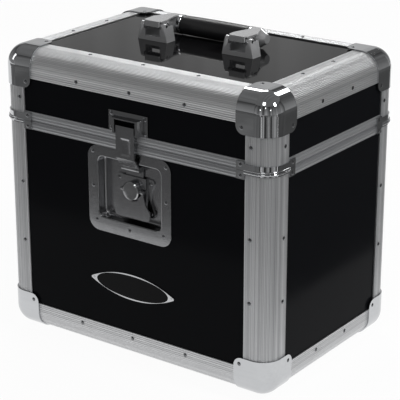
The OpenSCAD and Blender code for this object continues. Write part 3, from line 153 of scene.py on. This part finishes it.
def grey_card(card, name, low, high, streak):
    """Makes a mesh a card that only shows in reflections: grey from low to high by its UV height,
    with streaks that run up it."""
    card.name = name
    paint = bpy.data.materials.new(name + "_paint")
    paint.use_nodes = True
    tree = paint.node_tree
    tree.nodes.clear()
    where = add_node(tree, "TexCoord")
    split = add_node(tree, "SeparateXYZ")
    fade = add_node(tree, "MapRange", {"To Min": low, "To Max": high})
    folds = add_node(tree, "TexNoise", {"Scale": 26, "Detail": 2}, noise_dimensions="1D")
    depth = add_node(tree, "MapRange", {"From Min": 0.3, "From Max": 0.7,
                                        "To Min": 1 - streak, "To Max": 1 + streak})
    tone = add_node(tree, "Math", operation="MULTIPLY")
    light = add_node(tree, "Emission")
    out = add_node(tree, "OutputMaterial")
    wire(tree,
         (where.outputs["UV"], split.inputs[0]),
         (split.outputs["Y"], fade.inputs["Value"]),
         (split.outputs["X"], folds.inputs["W"]),
         (folds.outputs[0], depth.inputs["Value"]),
         (fade.outputs[0], tone.inputs[0]),
         (depth.outputs[0], tone.inputs[1]),
         (tone.outputs[0], light.inputs["Color"]),
         (light.outputs[0], out.inputs["Surface"]))
    card.data.materials.clear()
    card.data.materials.append(paint)
    card.visible_camera = False
    card.visible_diffuse = False
    card.visible_shadow = False
    card.visible_transmission = False


def flat_card(name, place, size, low, high, streak, tilt=0.0, turn=0.0):
    """A flat card of a width and height, tilted up from the floor and turned, in degrees."""
    bpy.ops.mesh.primitive_plane_add(size=1, location=place,
                                     rotation=(math.radians(tilt), 0, math.radians(turn)))
    bpy.context.object.scale = (*size, 1)
    grey_card(bpy.context.object, name, low, high, streak)


on_floor = 0.004
flat_card("card_low_front", (-1.05, -1.9, on_floor), (2.7, 2.9), 0.08, 0.17, streak=0.25)
flat_card("card_low_right", (1.87, 1.5, on_floor), (3.1, 3.0), 0.08, 0.14, streak=0.2)
flat_card("card_low_middle", (1.9, -1.6, on_floor), (3.1, 3.0), 0.10, 0.26, streak=0.4)
# Narrow dark and light strips fan out from under the front right corner, and streak its chrome.
fan_x, fan_y, fan_reach, strip_length = 0.18, -0.13, 1.6, 2.2
strip_greys = ((0.04, 0.06), (0.3, 0.5))
for number, heading in enumerate((-88, -71, -60, -43, -30, -12, 3)):
    turn = math.radians(heading)
    place = (fan_x + fan_reach * math.cos(turn), fan_y + fan_reach * math.sin(turn),
             on_floor + 0.002)
    strip_width = 0.08 + 0.05 * (number % 3)
    low, high = strip_greys[number % 2]
    flat_card("card_streak_" + str(number), place, (strip_length, strip_width),
              low, high, streak=0.0, turn=heading)
bpy.ops.mesh.primitive_cylinder_add(vertices=64, radius=3.6, depth=2.9, end_fill_type="NOTHING",
                                    location=(0, 0, 1.4))
grey_card(bpy.context.object, "curtain", 0.30, 0.06, streak=0.6)
flat_card("card_backdrop", (-1.95, 2.65, 1.1), (3.4, 2.2), 0.62, 0.5, streak=0.1,
          tilt=90, turn=36)
flat_card("card_ceiling", (0, 0, 2.8), (7.4, 7.4), 0.16, 0.22, streak=0.2)


# ---- Laminated plywood panels ----
# Seven-millimetre plywood faced with a hard, smooth black laminate. The lid's top is the glossiest
# and mirrors the handle; every sheet has faint ripples, wipe marks and a little dust.
def node_group(name, inputs, outputs):
    """A shader node group with number sockets; returns it with its input and output nodes."""
    group = bpy.data.node_groups.new(name, "ShaderNodeTree")
    for socket, value in inputs:
        made = group.interface.new_socket(name=socket, in_out="INPUT",
                                          socket_type="NodeSocketFloat")
        made.default_value = value
    for socket in outputs:
        group.interface.new_socket(name=socket, in_out="OUTPUT", socket_type="NodeSocketFloat")
    return group, group.nodes.new("NodeGroupInput"), group.nodes.new("NodeGroupOutput")


wear, given, gives = node_group("wipe_marks", (("Scale", 30), ("Low", 0.08), ("High", 0.2)),
                                ("Roughness", "Height"))
where = add_node(wear, "TexCoord")
cloud = add_node(wear, "TexNoise", {"Detail": 4, "Roughness": 0.62})
wiping = add_node(wear, "Mapping", {"Rotation": (0.4, 0.3, 0.5), "Scale": (1.0, 14.0, 14.0)})
streaks = add_node(wear, "TexNoise", {"Detail": 3})
mixed = add_node(wear, "Math", {1: 0.45}, operation="MULTIPLY_ADD")
clouding = add_node(wear, "Math", {1: 0.6}, operation="MULTIPLY")
ramp = add_node(wear, "MapRange", {"From Min": 0.45, "From Max": 0.95})
wire(wear,
     (where.outputs["Object"], cloud.inputs["Vector"]),
     (where.outputs["Object"], wiping.inputs["Vector"]),
     (wiping.outputs[0], streaks.inputs["Vector"]),
     (given.outputs["Scale"], cloud.inputs["Scale"]),
     (given.outputs["Scale"], streaks.inputs["Scale"]),
     (streaks.outputs[0], mixed.inputs[0]),
     (cloud.outputs[0], clouding.inputs[0]),
     (clouding.outputs[0], mixed.inputs[2]),
     (mixed.outputs[0], ramp.inputs["Value"]),
     (given.outputs["Low"], ramp.inputs["To Min"]),
     (given.outputs["High"], ramp.inputs["To Max"]),
     (ramp.outputs[0], gives.inputs["Roughness"]),
     (mixed.outputs[0], gives.inputs["Height"]))


def plain_material(name, colour, metallic, roughness):
    """A Principled material with its constants set; returns it with its node tree and shader."""
    made = bpy.data.materials.new(name)
    made.use_nodes = True
    shader = made.node_tree.nodes["Principled BSDF"]
    shader.inputs["Base Color"].default_value = (*colour, 1)
    shader.inputs["Metallic"].default_value = metallic
    shader.inputs["Roughness"].default_value = roughness
    return made, made.node_tree, shader


def wipe_marks(tree, shader, scale, low, high):
    """Varies the roughness from low to high by wipe marks; returns the marks' height."""
    marks = add_node(tree, "Group", {"Scale": scale, "Low": low, "High": high}, node_tree=wear)
    wire(tree, (marks.outputs["Roughness"], shader.inputs["Roughness"]))
    return marks.outputs["Height"]


def raised(tree, shader, height, strength, distance):
    """Raises the surface by a height, up to a distance in metres."""
    dent = add_node(tree, "Bump", {"Strength": strength, "Distance": distance})
    wire(tree, (height, dent.inputs["Height"]), (dent.outputs[0], shader.inputs["Normal"]))


def coloured(tree, share, first, second):
    """Blends from one colour to another by a share; a colour is three numbers or an output."""
    blend = add_node(tree, "Mix", data_type="RGBA")
    for socket, colour in ((blend.inputs[6], first), (blend.inputs[7], second)):
        if isinstance(colour, tuple):
            socket.default_value = (*colour, 1)
        else:
            wire(tree, (colour, socket))
    wire(tree, (share, blend.inputs[0]))
    return blend.outputs[2]


def shaded(colour, share):
    """A colour made darker or lighter by a share."""
    return tuple(part * share for part in colour)


def laminate(name, colour, specular, low, high):
    """Hard black laminate with wipe marks, shallow ripples and specks of dust."""
    made, tree, shader = plain_material(name, colour, 0.0, low)
    shader.inputs["Specular IOR Level"].default_value = specular
    ripples = wipe_marks(tree, shader, 9, low, high)
    raised(tree, shader, ripples, strength=0.12, distance=0.0004)
    where = add_node(tree, "TexCoord")
    speck = add_node(tree, "TexNoise", {"Scale": 900, "Detail": 2})
    dust = add_node(tree, "MapRange", {"From Min": 0.62, "From Max": 0.85, "To Max": 0.35})
    wire(tree,
         (where.outputs["Object"], speck.inputs["Vector"]),
         (speck.outputs[0], dust.inputs["Value"]),
         (coloured(tree, dust.outputs[0], colour, shaded(colour, 2.2)),
          shader.inputs["Base Color"]))
    return made


def dress(material, *names):
    """Gives CAD nodes their finish."""
    for name in names:
        mesh = cad[name].data
        mesh.materials.clear()
        mesh.materials.append(material)


wall_laminate = laminate("black_laminate_walls", (0.0050, 0.0053, 0.0062),
                         specular=0.02, low=0.12, high=0.22)
top_laminate = laminate("black_laminate_top", (0.0060, 0.0060, 0.0065),
                        specular=0.1, low=0.035, high=0.09)
dress(wall_laminate, "bottom_panel", "body_front_panel", "body_back_panel", "body_left_panel",
      "body_right_panel", "lid_front_panel", "lid_back_panel", "lid_left_panel", "lid_right_panel")
dress(top_laminate, "lid_top_panel")


# ---- Foam lining ----
# Soft dark pads that keep the records off the wood. They are cut from foam with a pored skin
# and glued inside the walls, floor and lid.
lining, tree, shader = plain_material("foam_lining", (0.035, 0.035, 0.038), 0.0, 0.95)
shader.inputs["Specular IOR Level"].default_value = 0.15
where = add_node(tree, "TexCoord")
# Painted shade: the hollows of the pores are painted darker, by the same distance that sinks them.
pores = add_node(tree, "TexVoronoi", {"Scale": 700})
wire(tree,
     (where.outputs["Object"], pores.inputs["Vector"]),
     (coloured(tree, pores.outputs["Distance"], (0.018, 0.018, 0.02), (0.055, 0.055, 0.06)),
      shader.inputs["Base Color"]))
raised(tree, shader, pores.outputs["Distance"], strength=0.6, distance=0.0006)
dress(lining, "body_foam", "lid_foam")


# ---- Aluminium edge extrusions and rims ----
# Natural aluminium drawn through a die: fine flutes run along every length, with soft grey bands
# that change from flute to flute, and short scuffs from handling.
flutes, given, gives = node_group("drawn_flutes", (("Across", 0.0), ("Pitch", 0.0015)),
                                  ("Ridge", "Band", "Groove"))
turns = add_node(flutes, "Math", operation="DIVIDE")
wave = add_node(flutes, "Math", {1: 0.5}, operation="PINGPONG")
bands = add_node(flutes, "TexNoise", {"Scale": 0.45, "Detail": 3, "Roughness": 0.7},
                 noise_dimensions="1D")
groove = add_node(flutes, "MapRange", {"From Max": 0.17, "To Min": 1.0, "To Max": 0.0},
                  interpolation_type="SMOOTHSTEP")
ridge = add_node(flutes, "MapRange", {"From Max": 0.5}, interpolation_type="SMOOTHSTEP")
wire(flutes,
     (given.outputs["Across"], turns.inputs[0]),
     (given.outputs["Pitch"], turns.inputs[1]),
     (turns.outputs[0], wave.inputs[0]),
     (turns.outputs[0], bands.inputs["W"]),
     (wave.outputs[0], groove.inputs["Value"]),
     (wave.outputs[0], ridge.inputs["Value"]),
     (groove.outputs[0], gives.inputs["Groove"]),
     (ridge.outputs[0], gives.inputs["Ridge"]),
     (bands.outputs[0], gives.inputs["Band"]))

end_edges_from = 0.1525  # the level edges further out than this run front to back


def across(tree, kind):
    """The distance across the flutes, for upright posts, level rims, and top or bottom edges."""
    where = add_node(tree, "TexCoord")
    split = add_node(tree, "SeparateXYZ")
    wire(tree, (where.outputs["Object"], split.inputs[0]))
    if kind == "rim":
        return split.outputs["Z"]
    out_x = add_node(tree, "Math", operation="ABSOLUTE")
    out_y = add_node(tree, "Math", operation="ABSOLUTE")
    total = add_node(tree, "Math", operation="ADD" if kind == "bottom" else "SUBTRACT")
    wire(tree, (split.outputs["X"], out_x.inputs[0]), (split.outputs["Y"], out_y.inputs[0]))
    if kind == "post":
        wire(tree, (out_x.outputs[0], total.inputs[0]), (out_y.outputs[0], total.inputs[1]))
        return total.outputs[0]
    at_end = add_node(tree, "Math", {1: end_edges_from}, operation="GREATER_THAN")
    pick = add_node(tree, "Mix")
    wire(tree,
         (out_x.outputs[0], at_end.inputs[0]),
         (at_end.outputs[0], pick.inputs[0]),
         (out_y.outputs[0], pick.inputs[2]),
         (out_x.outputs[0], pick.inputs[3]),
         (pick.outputs[0], total.inputs[0]),
         (split.outputs["Z"], total.inputs[1]))
    return total.outputs[0]


# Painted shade: the grooves between the flutes are blended towards this dark grey.
groove_shade_grey = (0.10, 0.102, 0.106)


def drawn_aluminium(name, kind, pitch, line, dark, light, low, high, metal):
    """Fluted aluminium: flutes of a pitch in metres, with painted shade in the grooves between
    them, in bands from a dark to a light grey, and scuffs that vary the roughness from low to high."""
    made, tree, shader = plain_material(name, light, metal, low)
    profile = add_node(tree, "Group", {"Pitch": pitch}, node_tree=flutes)
    tone = add_node(tree, "MapRange", {"From Min": 0.3, "From Max": 0.7})
    # Painted shade: line sets how far the flute grooves are darkened.
    cut = add_node(tree, "Math", {1: line}, operation="MULTIPLY")
    banded = coloured(tree, tone.outputs[0], dark, light)
    wire(tree,
         (across(tree, kind), profile.inputs["Across"]),
         (profile.outputs["Band"], tone.inputs["Value"]),
         (profile.outputs["Groove"], cut.inputs[0]),
         (coloured(tree, cut.outputs[0], banded, groove_shade_grey), shader.inputs["Base Color"]))
    wipe_marks(tree, shader, 40, low, high)
    raised(tree, shader, profile.outputs["Ridge"], strength=0.8, distance=0.00035)
    return made


edge_pitch, rim_pitch = 0.0024, 0.0036
# Painted light and shade on one aluminium: the top and bottom edges are painted lighter than the
# posts, and the rims darker still, set to how each catches the light.
post_aluminium = drawn_aluminium(
    "aluminium_posts", "post", edge_pitch, line=0.42, dark=(0.34, 0.345, 0.355),
    light=(0.54, 0.545, 0.555), low=0.40, high=0.52, metal=0.7)
top_aluminium = drawn_aluminium(
    "aluminium_top_edges", "top", edge_pitch, line=0.36, dark=(0.52, 0.525, 0.535),
    light=(0.70, 0.705, 0.71), low=0.38, high=0.50, metal=0.9)
bottom_aluminium = drawn_aluminium(
    "aluminium_bottom_edges", "bottom", edge_pitch, line=0.42, dark=(0.50, 0.505, 0.515),
    light=(0.68, 0.685, 0.695), low=0.40, high=0.5, metal=0.9)
rim_aluminium = drawn_aluminium(
    "aluminium_rims", "rim", rim_pitch, line=0.3, dark=(0.24, 0.245, 0.255),
    light=(0.35, 0.355, 0.365), low=0.36, high=0.46, metal=0.6)
dress(post_aluminium, "body_corner_extrusions", "lid_corner_extrusions")
dress(top_aluminium, "top_edge_extrusions")
dress(bottom_aluminium, "bottom_edge_extrusions")
dress(rim_aluminium, "body_rim", "lid_rim")


# ---- Ball corners, seam braces, rivets and hinges ----
# Pressed steel, nickel and chrome plated, riveted through the extrusions. The pressings are bright
# with shallow waves from forming; the rivet heads are small domes.
def plated(name, colour, scale, low, high, bump, distance=0.0003, gloss=0.0, metal=1.0):
    """Plated steel with wipe marks of a scale, which vary its roughness from low to high, its
    height and its tone; gloss is a clear bright skin over a brushed one."""
    made, tree, shader = plain_material(name, colour, metal, low)
    shader.inputs["Coat Weight"].default_value = gloss
    shader.inputs["Coat Roughness"].default_value = 0.06
    shader.inputs["Coat IOR"].default_value = 1.9
    height = wipe_marks(tree, shader, scale, low, high)
    raised(tree, shader, height, bump, distance)
    wire(tree, (coloured(tree, height, colour, shaded(colour, 0.78)),
                shader.inputs["Base Color"]))
    return made


corner_chrome = plated("corner_chrome", (0.60, 0.61, 0.625), scale=18,
                       low=0.04, high=0.09, bump=0.12)
rivet_steel = plated("rivet_steel", (0.17, 0.173, 0.18), scale=120,
                     low=0.12, high=0.22, bump=0.1)
dress(corner_chrome, "bottom_ball_corners", "top_ball_corners", "lower_corner_braces",
      "upper_corner_braces", "hinge_body_leaves", "hinge_lid_leaves")
dress(rivet_steel, "body_rivets", "lid_rivets", "hinge_pins", "latch_rivets")


# ---- Latch dish and cover ----
# The dish is one steel pressing: a flat flange riveted to the panel, a rolled lip, straight walls
# and a soft bend into the floor. The cover is a bent plate riveted over the dish's floor.
def only(piece):
    """Makes one object the selected and active one."""
    bpy.ops.object.select_all(action="DESELECT")
    piece.select_set(True)
    bpy.context.view_layer.objects.active = piece


def fit_piece(piece, body, material, slot, *nodes):
    """Paints a finished piece and seats it in place of its CAD nodes."""
    only(piece)
    piece.data.materials.clear()
    piece.data.materials.append(material)
    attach(piece, body)
    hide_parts(*nodes)


latch_chrome = plated("latch_chrome", (0.27, 0.274, 0.284), scale=90,
                      low=0.18, high=0.30, bump=0.35, distance=0.0002, gloss=0.6)
dark_chrome = plated("dark_chrome", (0.42, 0.425, 0.435), scale=70,
                     low=0.06, high=0.14, bump=0.35)

latch_x = -0.002
dish_lo, dish_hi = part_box("latch_dish")
flange_width, flange_height, flange_radius = dish_hi.x - dish_lo.x, dish_hi.z - dish_lo.z, 0.014
recess_width, recess_height, recess_radius = 0.088, 0.072, 0.007
recess_top, recess_floor = dish_hi.z - 0.0122, -0.116
notch_half, notch_rise = 0.01425, 0.0082
lip_roll, floor_roll, sheet_thickness = 0.0013, 0.0032, 0.0009
flange_back, flange_bevel = 0.0011, 0.0003
corner_steps = 8
smooth_below = math.radians(34)


def dish_ring(mesh, width, height, radius, top, depth, half, rise):
    """One rounded outline of the dish at a depth, with a notch for the tongue in its top edge."""
    points = []
    for corner, (right, up) in enumerate(((1, 1), (-1, 1), (-1, -1), (1, -1))):
        for step in range(corner_steps + 1):
            turn = math.radians(90 * (corner + step / corner_steps))
            points.append((latch_x + right * (width / 2 - radius) + radius * math.cos(turn),
                           top - height / 2 + up * (height / 2 - radius) + radius * math.sin(turn)))
        if corner == 0:
            inner = half if rise else half * 0.9
            points += [(latch_x + half, top), (latch_x + inner, top + rise),
                       (latch_x - inner, top + rise), (latch_x - half, top)]
    return [mesh.verts.new((x, depth, z)) for x, z in points]


# The rings run from the flange's back edge over its face, round the lip and down to the floor.
mesh = bmesh.new()
rings = [dish_ring(mesh, flange_width - 2 * inset, flange_height - 2 * inset,
                   flange_radius - inset, dish_hi.z - inset, dish_lo.y + depth, notch_half, 0)
         for inset, depth in ((0, flange_back), (0, flange_bevel),
                              (flange_bevel / 3, flange_bevel / 3), (flange_bevel, 0))]
quarter = [math.radians(turn) for turn in range(0, 91, 15)]
bends = [(lip_roll * (1 - math.sin(turn)), dish_lo.y + lip_roll * (1 - math.cos(turn)))
         for turn in quarter]
bends += [(floor_roll * (math.cos(turn) - 1), recess_floor - floor_roll * (1 - math.sin(turn)))
          for turn in quarter]
for grow, depth in bends:
    slim = 0.7 * min(grow, 0)  # the notch's bend is tighter, so that the carriage clears it
    rings.append(dish_ring(mesh, recess_width + 2 * grow, recess_height + 2 * grow,
                           recess_radius + grow, recess_top + grow, depth,
                           notch_half + grow - slim, notch_rise - slim))
for outer, inner in zip(rings, rings[1:]):
    for i in range(len(outer)):
        j = (i + 1) % len(outer)
        mesh.faces.new((outer[i], outer[j], inner[j], inner[i]))
mesh.faces.new(rings[-1])
pressed = bpy.data.meshes.new("latch_dish_pressing")
mesh.to_mesh(pressed)
mesh.free()
dish = bpy.data.objects.new("latch_dish_pressing", pressed)
scene.collection.objects.link(dish)
only(dish)
sheet = dish.modifiers.new("sheet", "SOLIDIFY")
sheet.thickness = sheet_thickness
sheet.offset = -1
bpy.ops.object.modifier_apply(modifier="sheet")
bpy.ops.object.shade_smooth_by_angle(angle=smooth_below)
flats = dish.modifiers.new("flats", "WEIGHTED_NORMAL")
flats.keep_sharp = True
bpy.ops.object.modifier_apply(modifier="flats")
fit_piece(dish, "case_body", latch_chrome, "satin_chrome", "latch_dish")


def pressing(node, name):
    """A merged copy of a CAD node, ready to be shaped further."""
    piece = cad[node].copy()
    piece.data = cad[node].data.copy()
    piece.name = piece.data.name = name
    for key in list(piece.keys()):
        del piece[key]
    piece.parent = None
    scene.collection.objects.link(piece)
    only(piece)
    bpy.ops.object.mode_set(mode="EDIT")
    bpy.ops.mesh.select_all(action="SELECT")
    bpy.ops.mesh.remove_doubles(threshold=2e-6)
    bpy.ops.mesh.dissolve_limited(angle_limit=math.radians(0.5))
    bpy.ops.object.mode_set(mode="OBJECT")
    return piece


widest_roll = 0.005


def roll_edges(piece, chosen, width, least=35):
    """Sets how wide edges are rounded that are sharper than least degrees, have both ends chosen
    and have no width yet."""
    only(piece)
    bpy.ops.object.mode_set(mode="EDIT")
    mesh = bmesh.from_edit_mesh(piece.data)
    layers = mesh.edges.layers.float
    weight = layers.get("bevel_weight_edge") or layers.new("bevel_weight_edge")
    for edge in mesh.edges:
        if len(edge.link_faces) != 2 or edge.calc_face_angle(0) <= math.radians(least):
            continue
        if edge[weight] == 0 and chosen(edge.verts[0].co) and chosen(edge.verts[1].co):
            edge[weight] = width / widest_roll
    bmesh.update_edit_mesh(piece.data)
    bpy.ops.object.mode_set(mode="OBJECT")


def deburr(piece, width, segments=3, least=32):
    """Rounds the other sharp edges by a width, and cuts all the roundings; flats keep their own
    normals."""
    roll_edges(piece, lambda point: True, width, least)
    bpy.ops.object.shade_smooth_by_angle(angle=smooth_below)
    bevel = piece.modifiers.new("deburr", "BEVEL")
    bevel.width = widest_roll
    bevel.segments = segments
    bevel.limit_method = "WEIGHT"
    bevel.harden_normals = True
    bpy.ops.object.modifier_apply(modifier="deburr")


cover = pressing("latch_cover", "latch_cover_plate")
deburr(cover, 0.00045)
fit_piece(cover, "case_body", latch_chrome, "satin_chrome", "latch_cover")


# ---- Latch movement ----
# A turned hub with a folding wing on its cross pin; behind the cover a cam lifts the carriage, and
# the long tongue on the carriage's pin reaches over the seam. All are plated steel.
hub = pressing("latch_hub", "latch_hub_turned")
hub_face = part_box("latch_hub")[0].y
roll_edges(hub, lambda point: point.y < hub_face + 0.0004, width=0.0018, least=20)
deburr(hub, 0.0004, segments=4)
fit_piece(hub, "latch_rotor", dark_chrome, "satin_chrome", "latch_hub")

wing = pressing("latch_wing", "latch_wing_plate")
deburr(wing, 0.00045)
fit_piece(wing, "latch_wing", latch_chrome, "satin_chrome", "latch_wing")

carriage = pressing("latch_carriage", "latch_carriage_plate")
deburr(carriage, 0.0003, segments=2)
fit_piece(carriage, "latch_carriage", latch_chrome, "satin_chrome", "latch_carriage")

# The tongue's dimple is a tray pressed into its face; its floor is drawn in, so its walls slope.
tongue = pressing("latch_tongue", "latch_tongue_bar")
bar_lo, bar_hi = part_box("latch_tongue")
dimple_low, dimple_high = bar_lo.z + 0.010, bar_hi.z - 0.004
dimple_half, dimple_depth = 0.0079, 0.0007
only(tongue)
bpy.ops.object.mode_set(mode="EDIT")
bpy.ops.mesh.select_mode(type="VERT")
bpy.ops.mesh.select_all(action="DESELECT")
mesh = bmesh.from_edit_mesh(tongue.data)
floor_points = [v for v in mesh.verts if abs(v.co.y - bar_lo.y - dimple_depth) < 0.00015
                and abs(v.co.x - latch_x) < dimple_half and dimple_low < v.co.z < dimple_high]
for vertex in floor_points:
    vertex.select_set(True)
middle = sum((v.co for v in floor_points), Vector()) / max(1, len(floor_points))
mesh.select_flush_mode()
bmesh.update_edit_mesh(tongue.data)
bpy.ops.transform.resize(value=(0.62, 1, 0.78), center_override=middle)
bpy.ops.object.mode_set(mode="OBJECT")
roll_edges(tongue, lambda point: point.z > bar_hi.z - 0.0002 and point.y < bar_lo.y + 0.0004,
           width=0.0012)
roll_edges(tongue, lambda point: abs(point.x - latch_x) < dimple_half + 0.0006
           and point.y < bar_lo.y + 0.001 and dimple_low < point.z < dimple_high,
           width=0.0006, least=12)
deburr(tongue, 0.0005)
fit_piece(tongue, "latch_tongue", latch_chrome, "satin_chrome", "latch_tongue")
dress(dark_chrome, "latch_cam", "wing_pin", "tongue_pin")


# ---- Strike ----
# A plated steel plate riveted to the lid above the dish. It carries a raised, bevelled frame,
# whose window takes the latch's tongue.
strike = pressing("strike_plate", "strike_frame")
deburr(strike, 0.0005)
fit_piece(strike, "lid", latch_chrome, "satin_chrome", "strike_plate")


# ---- Badge ----
# An oval plate with a thin bright rim, fixed by a pin at each of its two pointed ends. Its
# middle is bare and black.
badge_black = laminate("badge_black", (0.004, 0.004, 0.0045), specular=0.06, low=0.06, high=0.12)
badge_chrome = plated("badge_chrome", (0.55, 0.555, 0.57), scale=60,
                      low=0.1, high=0.18, bump=0.15)
dress(badge_black, "badge_plate")
dress(badge_chrome, "badge_rim", "badge_pins")


# ---- Handle ----
# A black rubber grip on a steel rod, held by two pressed arms that swing on spring-loaded pins
# between upright brackets.
handle_chrome = plated("handle_chrome", (0.60, 0.605, 0.615), scale=110, low=0.20, high=0.34,
                       bump=0.3, distance=0.0002, gloss=0.4, metal=0.6)
collar_chrome = plated("collar_chrome", (0.66, 0.665, 0.68), scale=60,
                       low=0.06, high=0.12, bump=0.2)
spring_steel = plated("spring_steel", (0.30, 0.30, 0.31), scale=90,
                      low=0.18, high=0.3, bump=0.1)
for side in ("left", "right"):
    bracket = pressing("handle_bracket_" + side, "bracket_" + side)
    deburr(bracket, 0.0005)
    fit_piece(bracket, "lid", handle_chrome, "polished_chrome", "handle_bracket_" + side)
    arm = pressing("handle_arm_" + side, "arm_" + side)
    deburr(arm, 0.0007)
    fit_piece(arm, "handle", handle_chrome, "polished_chrome", "handle_arm_" + side)
collars = pressing("handle_collars", "grip_collars")
deburr(collars, 0.0009)
fit_piece(collars, "handle", collar_chrome, "polished_chrome", "handle_collars")
dress(handle_chrome, "handle_bracket_rivets")
dress(collar_chrome, "handle_pivot_pins")
dress(spring_steel, "handle_spring_left", "handle_spring_right", "spring_sleeves", "handle_rod")

# The grip is a straight sleeve, cut into rings that swell a little towards its middle.
grip_rubber, tree, shader = plain_material("grip_rubber", (0.010, 0.010, 0.011), 0.0, 0.42)
raised(tree, shader, wipe_marks(tree, shader, 300, 0.34, 0.48), strength=0.3, distance=0.0001)
grip_lo, grip_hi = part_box("handle_grip")
grip_mid = (grip_lo + grip_hi) / 2
grip_half = (grip_hi.x - grip_lo.x) / 2
end_radius = (grip_hi.z - grip_lo.z) / 2 * 0.955
most_swell = 0.047
bpy.ops.object.select_all(action="DESELECT")
bpy.ops.mesh.primitive_cylinder_add(vertices=80, radius=end_radius, depth=2 * grip_half,
                                    location=grip_mid, rotation=(0, math.radians(90), 0))
grip = bpy.context.object
grip.name = grip.data.name = "grip_sleeve"
bpy.ops.object.transform_apply(location=True, rotation=True, scale=True)
bpy.ops.object.mode_set(mode="EDIT")
stations = [-0.96, -0.85, -0.68, -0.45, -0.22, 0.0, 0.22, 0.45, 0.68, 0.85, 0.96]
for station in stations:
    bpy.ops.mesh.select_all(action="SELECT")
    bpy.ops.mesh.bisect(plane_co=(grip_mid.x + station * grip_half, 0, 0), plane_no=(1, 0, 0))
for station in stations:
    bpy.ops.mesh.select_all(action="DESELECT")
    mesh = bmesh.from_edit_mesh(grip.data)
    for vertex in mesh.verts:
        vertex.select_set(abs(vertex.co.x - grip_mid.x - station * grip_half) < 1e-5)
    mesh.select_flush_mode()
    bmesh.update_edit_mesh(grip.data)
    swell = 1 + most_swell * (1 - abs(station) ** 2.2)
    bpy.ops.transform.resize(value=(1, swell, swell), center_override=grip_mid)
bpy.ops.object.mode_set(mode="OBJECT")
deburr(grip, 0.0012, least=50)
fit_piece(grip, "handle", grip_rubber, "grip_rubber", "handle_grip")


# ---- Feet ----
# Four moulded rubber bumpers under the body. A steel screw through each one holds it to the
# bottom panel.
foot_rubber, tree, shader = plain_material("foot_rubber", (0.012, 0.012, 0.012), 0.0, 0.7)
raised(tree, shader, wipe_marks(tree, shader, 200, 0.6, 0.8), strength=0.4, distance=0.0002)
dress(foot_rubber, "rubber_feet")
dress(rivet_steel, "foot_screws")
